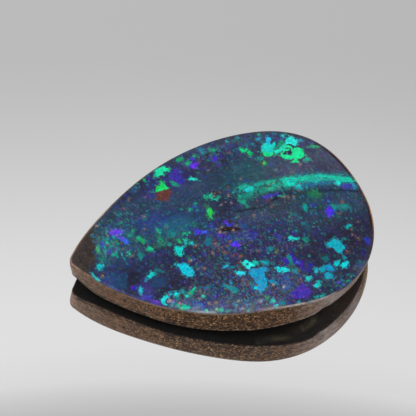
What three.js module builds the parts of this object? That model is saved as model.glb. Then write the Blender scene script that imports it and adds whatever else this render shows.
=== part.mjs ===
// A boulder opal cut as a pear-shaped cabochon: a thin face of precious opal that grew on brown
// ironstone, ground and polished together with it as one stone.
// Millimetres. +X runs from the tip to the round end and +Z is up. The origin is the middle of the
// stone's length and width, on the flat of its back.

import * as THREE from "three";

// The pear outline at the edge of the face
const LENGTH = 19.85;
const WIDTH = 14.4;
const TIP_ASIDE = 0.5; // the tip sits this far behind the middle line
const TIP_BLUNT = 0.45; // how far from the tip its rounding starts, along each flank
const BACK_FLANK_ANGLE = 51; // degrees between the middle line and each flank as it leaves the tip
const FRONT_FLANK_ANGLE = 60.5;
const SHOULDERS_AT = 2.9; // the stone is widest this far past the middle, towards the round end

// Heights above the surface that the stone lies on
const FACE_EDGE_HEIGHT = 2.23; // the face's edge, before the rises and falls along it
const SWELL = 0.85; // the edge rises by this at the front, past the middle
const TIP_RISE = 0.2; // and by this at the tip
const END_FALL = 0.29; // and drops by this at the round end
const DOME = 0.5; // the middle of the face above its edge
const GIRDLE_HEIGHT = 0.56; // where the wall turns under, at its lowest
const GIRDLE_RISE = 0.57; // how much higher it is from the shoulders to the round end
const GIRDLE_CREST = 0.32; // and how much more at its highest, past the front shoulder
const GIRDLE_TIP_RISE = 0.5; // and how much higher it is under the tip

// The wall and its edges
const WALL_SPREAD = 0.08; // the wall spreads by this from the face to the girdle, by the shoulders
const END_UNDERCUT = 0.22; // and draws in by this below the round end
const TIP_UNDERCUT = 0.12; // and by this towards the tip
const WALL_BULGE = 0.03; // the wall bulges by this halfway up
const WALL_WAVE = 0.03; // how far the hand-ground wall strays from true
const EDGE_ROUND = 0.1; // radius worn on the face's edge by the polish
const GIRDLE_BREAK = 0.06; // the small bevel under the girdle

// The back
const MIDDLE = new THREE.Vector2(1.6, 0); // the face and the back close in on this point
const FLAT_SHARE = 0.66; // the flat that the stone rests on, as a share of the outline
const BACK_CURVE = 1.7; // 1 would be a straight bevel from the flat to the girdle
const BACK_LUMPS = 0.06; // the rough of the ironstone that the grinding left on that curve

// Natural pits in the ironstone of the wall: where, how far up it, how wide and how deep
const PITS = [
  { x: -6.1, y: -3.6, share: 0.15, reach: 0.7, depth: 0.05 },
  { x: -1.3, y: -6.3, share: 0.1, reach: 0.6, depth: 0.05 },
  { x: 4.4, y: -7.0, share: 0.0, reach: 0.7, depth: 0.08 },
  { x: 9.2, y: 3.1, share: 0.25, reach: 0.8, depth: 0.08 },
  { x: -3.1, y: 5.5, share: 0.15, reach: 0.9, depth: 0.08 },
];

// Natural hollows in the ironstone back: where, how wide and how deep
const HOLLOWS = [
  { x: -3.6, y: 1.6, reach: 1.5, depth: 0.2 },
  { x: -1.2, y: -3.1, reach: 1.1, depth: 0.14 },
  { x: 4.6, y: 3.2, reach: 1.7, depth: 0.22 },
  { x: 6.9, y: -2.6, reach: 1.2, depth: 0.16 },
];

// Mesh
const AROUND = 168;
const WALL_STEPS = [0, 0.08, 0.18, 0.32, 0.5, 0.75, 1];
const EDGE_STEPS = 3;
const BACK_STEPS = [0, 0.14, 0.32, 0.54, 0.76, 1];
const FLAT_STEPS = [0.84, 0.64, 0.4];
const FACE_STEPS = [0.96, 0.89, 0.79, 0.66, 0.5, 0.32, 0.15];

const OPAL_BLUE = 0x1c3556;

function bell(distance, reach) {
  return Math.exp(-((distance / reach) ** 2));
}

// The edge of the face seen from above: four cubic curves between the tip, the front shoulder,
// the round end and the back shoulder, with the tip rounded off. Anticlockwise from above.
function pearOutline() {
  const backFlank = THREE.MathUtils.degToRad(BACK_FLANK_ANGLE);
  const frontFlank = THREE.MathUtils.degToRad(-FRONT_FLANK_ANGLE);
  const cutOff = (TIP_BLUNT / 4) * (Math.cos(backFlank) + Math.cos(frontFlank));
  const corner = new THREE.Vector2(-LENGTH / 2 - cutOff, TIP_ASIDE);
  const fromCorner = (angle, distance) =>
    new THREE.Vector2(Math.cos(angle), Math.sin(angle)).multiplyScalar(distance).add(corner);

  const frontStart = fromCorner(frontFlank, TIP_BLUNT);
  const frontPull = fromCorner(frontFlank, 0.195 * LENGTH);
  const front = new THREE.Vector2(SHOULDERS_AT, -WIDTH / 2);
  const end = new THREE.Vector2(LENGTH / 2, 0);
  const back = new THREE.Vector2(SHOULDERS_AT, WIDTH / 2);
  const backPull = fromCorner(backFlank, 0.175 * LENGTH);
  const backEnd = fromCorner(backFlank, TIP_BLUNT);
  const towardsTip = 0.28 * LENGTH;

  const path = new THREE.Path();
  path.moveTo(frontStart.x, frontStart.y);
  path.bezierCurveTo(frontPull.x, frontPull.y, front.x - towardsTip, front.y, front.x, front.y);
  path.bezierCurveTo(front.x + 0.19 * LENGTH, front.y, end.x, -0.28 * WIDTH, end.x, end.y);
  path.bezierCurveTo(end.x, 0.325 * WIDTH, back.x + 0.25 * LENGTH, back.y, back.x, back.y);
  path.bezierCurveTo(back.x - towardsTip, back.y, backPull.x, backPull.y, backEnd.x, backEnd.y);
  path.quadraticCurveTo(corner.x, corner.y, frontStart.x, frontStart.y);
  return path;
}

// How high the wall turns under. It is lowest along the flanks, steps up past the middle of the
// stone, and rises again under the tip.
function girdleHeight(x) {
  const step = GIRDLE_RISE * THREE.MathUtils.smoothstep(x, -5, 3);
  const crest = GIRDLE_CREST * bell(x - 4, 2.5);
  return GIRDLE_HEIGHT + step + crest + GIRDLE_TIP_RISE * bell(x + LENGTH / 2, 0.8);
}

// Height of the polished face before its dome: level, with a swell along the front and the slow
// waves that the cutter leaves in following the colour.
function faceLevel(x, y) {
  const swell = SWELL * bell(x - 1.7, 3.9) * bell(y + WIDTH / 2, 7);
  const ends = TIP_RISE * bell(x + LENGTH / 2, 2.2) - END_FALL * bell(x - LENGTH / 2, 2);
  const waves = 0.02 * Math.sin(0.75 * x + 0.5 * y + 0.4) + 0.015 * Math.sin(1.1 * y - 0.45 * x);
  return FACE_EDGE_HEIGHT + swell + ends + waves;
}

// How far the wall stands out past the edge of the face, at a share of its height.
function wallOffset(x, y, share) {
  const endUndercut = END_UNDERCUT * THREE.MathUtils.smoothstep(x, 3, 6);
  const tipUndercut = TIP_UNDERCUT * THREE.MathUtils.smoothstep(-x, 4.5, 8);
  const spread = WALL_SPREAD * bell(x - 0.5, 4.5) - endUndercut - tipUndercut;
  const lean = spread * (1 - share);
  const wave = Math.sin(0.9 * x + 1.3 * y) * Math.sin(1.7 * x - 0.8 * y + 2.6 * share);
  let depth = 0;
  for (const pit of PITS) {
    const across = Math.hypot(x - pit.x, y - pit.y) / pit.reach;
    depth += pit.depth * bell(across, 0.6) * bell(share - pit.share, 0.16);
  }
  return lean + (WALL_BULGE + WALL_WAVE * wave) * Math.sin(Math.PI * share) - depth;
}

function hollowAt(x, y) {
  let rise = 0;
  for (const hollow of HOLLOWS) {
    const away = Math.hypot(x - hollow.x, y - hollow.y) / hollow.reach;
    if (away < 1) rise += hollow.depth * Math.cos((Math.PI / 2) * away) ** 2;
  }
  return rise;
}

// An outline point moved out by a distance along its normal, then drawn towards the middle.
function placed(point, offset, share) {
  const x = point.x + point.nx * offset;
  const y = point.y + point.ny * offset;
  return {
    x: MIDDLE.x + (x - MIDDLE.x) * share,
    y: MIDDLE.y + (y - MIDDLE.y) * share,
  };
}

// The height at which the rounded edge meets the face.
function edgeHeight(point) {
  const { x, y } = placed(point, -EDGE_ROUND, 1);
  return faceLevel(x, y);
}

function flatRing(outline, share) {
  return outline.map((point) => {
    const offset = wallOffset(point.x, point.y, 0) - GIRDLE_BREAK;
    const { x, y } = placed(point, offset, FLAT_SHARE * share);
    return [x, y, hollowAt(x, y)];
  });
}

// From the girdle at step 0 to the flat at step 1.
function backRing(outline, step) {
  return outline.map((point) => {
    const bevel = GIRDLE_BREAK * Math.min(1, step / BACK_STEPS[1]);
    const offset = wallOffset(point.x, point.y, 0) - bevel;
    const { x, y } = placed(point, offset, 1 - step * (1 - FLAT_SHARE));
    const lump = Math.sin(1.9 * x + 0.6) * Math.sin(1.6 * y + 1.1) * Math.sin(Math.PI * step);
    const turn = (girdleHeight(point.x) - GIRDLE_BREAK) * (1 - step) ** BACK_CURVE;
    return [x, y, turn + BACK_LUMPS * lump + hollowAt(x, y)];
  });
}

function wallRing(outline, share) {
  return outline.map((point) => {
    const { x, y } = placed(point, wallOffset(point.x, point.y, share), 1);
    const low = girdleHeight(point.x);
    const high = edgeHeight(point) - EDGE_ROUND;
    return [x, y, low + (high - low) * share];
  });
}

function edgeRing(outline, share) {
  const turn = (share * Math.PI) / 2;
  return outline.map((point) => {
    const { x, y } = placed(point, -EDGE_ROUND * (1 - Math.cos(turn)), 1);
    return [x, y, edgeHeight(point) - EDGE_ROUND * (1 - Math.sin(turn))];
  });
}

function faceRing(outline, share) {
  return outline.map((point) => {
    const { x, y } = placed(point, -EDGE_ROUND, share);
    return [x, y, faceLevel(x, y) + DOME * (1 - share ** 2)];
  });
}

// The outline as evenly spaced points, each with its outward normal.
function outlinePoints() {
  const path = pearOutline();
  return Array.from({ length: AROUND }, (_, i) => {
    const at = path.getPointAt(i / AROUND);
    const along = path.getTangentAt(i / AROUND);
    return { x: at.x, y: at.y, nx: along.y, ny: -along.x };
  });
}

// One closed surface: from the middle of the back, out under the girdle, up the wall, over the
// edge and in to the middle of the face.
function stoneGeometry() {
  const outline = outlinePoints();
  const rings = [
    ...FLAT_STEPS.toReversed().map((share) => flatRing(outline, share)),
    ...BACK_STEPS.toReversed().map((step) => backRing(outline, step)),
    ...WALL_STEPS.map((share) => wallRing(outline, share)),
    ...Array.from({ length: EDGE_STEPS }, (_, i) => edgeRing(outline, (i + 1) / EDGE_STEPS)),
    ...FACE_STEPS.map((share) => faceRing(outline, share)),
  ];
  const middleOfBack = [MIDDLE.x, MIDDLE.y, 0];
  const middleOfFace = [MIDDLE.x, MIDDLE.y, faceLevel(MIDDLE.x, MIDDLE.y) + DOME];
  const vertices = [middleOfBack, ...rings.flat(), middleOfFace];

  const indices = [];
  const at = (ring, i) => 1 + ring * AROUND + (i % AROUND);
  for (let i = 0; i < AROUND; i++) {
    indices.push(0, at(0, i + 1), at(0, i));
    for (let ring = 0; ring < rings.length - 1; ring++) {
      indices.push(at(ring, i), at(ring, i + 1), at(ring + 1, i + 1));
      indices.push(at(ring, i), at(ring + 1, i + 1), at(ring + 1, i));
    }
    const last = rings.length - 1;
    indices.push(at(last, i), at(last, i + 1), vertices.length - 1);
  }

  const geometry = new THREE.BufferGeometry();
  geometry.setAttribute("position", new THREE.Float32BufferAttribute(vertices.flat(), 3));
  geometry.setIndex(indices);
  return geometry;
}

// Stands the stone on z = 0, in the middle of its own length and width.
function centred(geometry) {
  geometry.computeBoundingBox();
  const { min, max } = geometry.boundingBox;
  geometry.translate(-(min.x + max.x) / 2, -(min.y + max.y) / 2, -min.z);
  geometry.computeVertexNormals();
  return geometry;
}

const polishedStone = new THREE.MeshStandardMaterial({
  color: OPAL_BLUE,
  roughness: 0.18,
  metalness: 0,
});

const stone = new THREE.Mesh(centred(stoneGeometry()), polishedStone);
stone.name = "boulder_opal";

const group = new THREE.Group();
group.add(stone);

export default group;
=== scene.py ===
"""A polished pear-shaped boulder opal on a glossy pale surface, laid out as an add-on."""

import bpy
import numpy as np
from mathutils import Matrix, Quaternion, Vector


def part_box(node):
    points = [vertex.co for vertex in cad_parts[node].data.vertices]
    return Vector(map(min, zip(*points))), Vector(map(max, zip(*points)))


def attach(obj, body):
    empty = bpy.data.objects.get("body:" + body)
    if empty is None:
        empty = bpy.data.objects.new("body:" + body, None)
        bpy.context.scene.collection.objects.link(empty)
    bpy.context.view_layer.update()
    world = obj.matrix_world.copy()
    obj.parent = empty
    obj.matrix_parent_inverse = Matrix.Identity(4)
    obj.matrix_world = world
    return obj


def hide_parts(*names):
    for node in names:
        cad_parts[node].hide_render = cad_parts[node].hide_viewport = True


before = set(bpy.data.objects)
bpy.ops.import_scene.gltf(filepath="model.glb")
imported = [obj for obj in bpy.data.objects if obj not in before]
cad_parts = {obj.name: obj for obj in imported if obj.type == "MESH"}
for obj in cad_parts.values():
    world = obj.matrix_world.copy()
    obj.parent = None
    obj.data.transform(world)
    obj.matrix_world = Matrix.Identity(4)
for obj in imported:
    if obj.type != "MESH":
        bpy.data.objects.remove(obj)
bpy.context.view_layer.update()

bl_info = {
    "name": "Boulder opal",
    "version": (1, 0, 0),
    "blender": (4, 5, 0),
    "location": "View3D > Sidebar > Boulder opal",
    "description": "Builds a polished boulder opal, its finish and a small studio",
    "category": "Add Mesh",
}

MM = 0.001
CAD_NODE = "boulder_opal"
MOST_TRIANGLES = 200_000

# The outline of the face, in mm and degrees: where its shoulders lie, how far aside and how blunt
# its tip is, how each flank leaves the tip, and the point that its rings close in on.
SHOULDERS_AT = 2.9
TIP_ASIDE = 0.5
TIP_BLUNT = 0.45
BACK_FLANK_ANGLE = 51.0
FRONT_FLANK_ANGLE = 60.5
MIDDLE = np.array([1.6, 0.0])

# How far the outline's curves run on from their ends: from the tip, towards it from the
# shoulders and past the shoulders as shares of the length, and from the round end as shares of
# the width. Then the points worked out on each curve.
FRONT_TIP_RUN, BACK_TIP_RUN = 0.195, 0.175
SHOULDER_RUN = 0.28
FRONT_PAST_RUN, BACK_PAST_RUN = 0.19, 0.25
FRONT_END_RUN, BACK_END_RUN = 0.28, 0.325
CURVE_POINTS = 900

# Heights along the edge of the face, in mm: a swell at the front, a rise at the tip, a fall at
# the round end, and slow waves, each with its height, its turn along x and y and its phase.
SWELL, SWELL_AT, SWELL_REACH, SWELL_INWARD = 0.85, 1.7, 3.9, 7.0
TIP_RISE, TIP_RISE_REACH = 0.2, 2.2
END_FALL, END_FALL_REACH = 0.29, 2.0
FACE_WAVES = ((0.02, 0.75, 0.5, 0.4), (0.015, -0.45, 1.1, 0.0))

# Height at which the wall turns under, in mm: its step, between two places along the stone, the
# crest on it and its rise at the tip.
GIRDLE_RISE, GIRDLE_STEP = 0.57, (-5.0, 3.0)
GIRDLE_CREST, GIRDLE_CREST_AT, GIRDLE_CREST_REACH = 0.32, 4.0, 2.5
GIRDLE_TIP_RISE, GIRDLE_TIP_REACH = 0.5, 0.8

# The wall, in mm: its spread in the middle, its undercuts at the round end and at the tip and
# where each sets in, its bulge and waves, the rounding of its upper and lower edges, and the
# depth of its grain, with the number, pitch, upward stretch and seed of the grain's waves.
WALL_SPREAD, WALL_SPREAD_AT, WALL_SPREAD_REACH = 0.08, 0.5, 4.5
END_UNDERCUT, END_UNDERCUT_SPAN = 0.22, (3.0, 6.0)
TIP_UNDERCUT, TIP_UNDERCUT_SPAN = 0.12, (4.5, 8.0)
WALL_BULGE = 0.03
WALL_WAVE = 0.03
WALL_WAVES = ((0.9, 1.3, 0.0), (1.7, -0.8, 2.6))
EDGE_ROUND = 0.1
GIRDLE_BREAK, GIRDLE_BREAK_STEP = 0.06, 0.14
GRAIN_DEPTH = 0.008
GRAIN_WAVES, GRAIN_PITCH, GRAIN_UPWARD, GRAIN_SEED = 14, (7, 22), 1.4, 5

# The back: how much of it is flat, how it curves up to the wall, and its lumps, in mm.
FLAT_SHARE = 0.66
BACK_CURVE = 1.7
BACK_LUMPS = 0.06
LUMP_WAVES = ((1.9, 0.6), (1.6, 1.1))

# Chips in the wall: x, y, share of its height, reach, depth, in mm, with how soft each is along
# the wall and up it. Hollows in the back: x, y, reach, depth, in mm.
PITS = (
    (-6.1, -3.6, 0.15, 0.7, 0.05),
    (-1.3, -6.3, 0.1, 0.6, 0.05),
    (4.4, -7.0, 0.0, 0.7, 0.08),
    (9.2, 3.1, 0.25, 0.8, 0.08),
    (-3.1, 5.5, 0.15, 0.9, 0.08),
)
PIT_SOFT, PIT_HIGH = 0.6, 0.16
HOLLOWS = (
    (-3.6, 1.6, 1.5, 0.2),
    (-1.2, -3.1, 1.1, 0.14),
    (4.6, 3.2, 1.7, 0.22),
    (6.9, -2.6, 1.2, 0.16),
)

# Rows of the mesh.
FACE_SQUARES = 236
WALL_ROWS = 25
EDGE_ROWS = 5
BACK_STEPS = (0.02, 0.06, 0.14, 0.24, 0.36, 0.5, 0.64, 0.78, 0.9, 1.0)
FLAT_STEPS = (0.8, 0.55, 0.25)

# The level of a point: 2 all over the face, just above 1 round its edge, 1 down to 0 on the wall
# and below 0 under the stone. Then what still counts as on the face and as near it.
FACE_LEVEL, EDGE_LEVELS, LAST_LEVEL = 2.0, 0.05, -2.0
ON_FACE, NEAR_FACE = 1.5, 1.02

# The map that the finish may be baked on: its side and margin in texels, and the texels to a
# millimetre on the face, the wall and the back.
MAP_SIDE, MAP_MARGIN = 1024, 4
FACE_TEXELS, WALL_TEXELS, BACK_TEXELS = 50.4, 30.5, 18.0
WALL_STRIPS = 3

# How bright a white patch comes out in this studio and what its gloss adds, on the face and on
# the wall, and the darkest and lightest paint.
FACE_LIGHT, FACE_GLOSS = 1.0, 0.001
WALL_LIGHT, WALL_GLOSS = 0.5, 0.008
PAINT_RANGE = (0.0015, 0.95)

# Soft patches of body colour: x, y, reach along x, reach along y, strength, red, green, blue.
# The grey patches at the back of the round end are painted reflection, a haze of the bright
# surroundings on the polish. After them, how fast these and the fainter patches fade, and the
# power that flattens their tops.
BODY_COLOUR = (40, 42, 66)
BODY_PATCHES_AND_REFLECTION = (
    # Painted reflection: grey haze of the surroundings at the back of the round end.
    (6.2, 3.8, 3.4, 1.5, 0.95, 70, 74, 97),
    (9.0, 3.2, 0.9, 1.6, 0.8, 68, 70, 90),
    (2.7, 3.9, 1.9, 1.3, 0.9, 38, 80, 90),
    (1.1, 3.6, 1.0, 1.0, 0.8, 34, 62, 80),
    (0.8, 4.4, 0.7, 0.8, 0.6, 30, 50, 64),
    (-0.6, 3.6, 1.4, 0.8, 0.9, 48, 66, 90),
    (-3.4, 3.1, 2.9, 0.9, 0.9, 45, 64, 94),
    (-5.6, 3.0, 1.5, 1.0, 0.8, 44, 62, 84),
    (-4.0, 1.7, 1.6, 0.7, 0.85, 40, 62, 124),
    (-2.7, 0.9, 1.2, 0.8, 0.9, 32, 94, 124),
    (-1.0, 1.5, 1.0, 1.0, 0.6, 38, 72, 98),
    (-6.2, 0.8, 1.8, 1.5, 0.7, 42, 78, 106),
    (-7.6, 0.6, 0.8, 1.5, 0.6, 45, 84, 106),
    (3.4, 0.2, 2.4, 1.0, 0.85, 50, 64, 80),
    (6.2, 0.6, 1.3, 0.8, 0.85, 38, 68, 78),
    (8.5, 0.2, 1.2, 1.3, 0.8, 46, 72, 94),
    (5.5, -1.2, 2.0, 1.0, 0.8, 46, 62, 82),
    (6.6, -0.4, 1.0, 0.7, 0.6, 40, 70, 80),
    (7.5, -3.2, 1.8, 1.2, 0.85, 38, 36, 55),
    (3.0, -3.0, 2.0, 1.0, 0.8, 42, 40, 68),
    (-3.0, -3.4, 3.0, 1.0, 0.85, 40, 40, 62),
    (-5.4, -1.2, 2.5, 0.9, 0.8, 38, 44, 74),
    (-8.0, -1.6, 0.9, 0.8, 0.8, 44, 58, 102),
    (-6.1, -2.9, 0.5, 0.7, 0.95, 56, 50, 118),
    (-5.1, -2.7, 0.45, 0.3, 0.9, 35, 55, 98),
    (0.0, -1.2, 1.6, 0.9, 0.7, 46, 44, 82),
    (1.6, -2.2, 1.0, 0.8, 0.6, 48, 40, 84),
    (0.4, 5.6, 2.4, 1.0, 0.8, 52, 50, 82),
    (4.0, 6.1, 3.0, 0.9, 0.7, 50, 56, 82),
    (7.6, 5.6, 1.3, 0.8, 0.7, 60, 64, 90),
    (-1.4, 4.9, 0.8, 0.9, 0.8, 48, 46, 102),
    (2.0, 5.6, 0.35, 0.9, 0.85, 36, 32, 48),
    (2.6, -5.6, 2.0, 1.0, 0.7, 56, 46, 82),
    (-0.2, -5.8, 2.4, 0.8, 0.7, 58, 56, 88),
    (-3.6, -4.6, 1.2, 0.6, 0.6, 56, 60, 92),
    (-8.0, 2.1, 0.7, 0.8, 0.7, 62, 84, 98),
    (2.0, 0.1, 1.0, 0.9, 0.6, 48, 68, 92),
    (-4.6, -4.65, 0.5, 0.25, 0.6, 86, 98, 124),
    (-3.5, -5.2, 0.6, 0.3, 0.6, 86, 98, 128),
    (-2.2, -5.7, 0.8, 0.3, 0.5, 84, 94, 124),
    (-0.6, -6.4, 0.9, 0.3, 0.55, 88, 94, 122),
    (0.8, -6.8, 0.8, 0.25, 0.6, 104, 98, 112),
    (8.2, -5.4, 0.9, 0.6, 0.85, 98, 110, 134),
    (-2.4, 6.0, 1.0, 0.4, 0.6, 60, 82, 96),
    (1.6, 6.7, 2.6, 0.4, 0.6, 62, 76, 100),
    (5.8, 6.6, 2.2, 0.4, 0.6, 66, 78, 102),
)
BODY_FADE, HAZE_FADE, PATCH_POWER = 0.8, 0.6, 1.5

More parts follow.
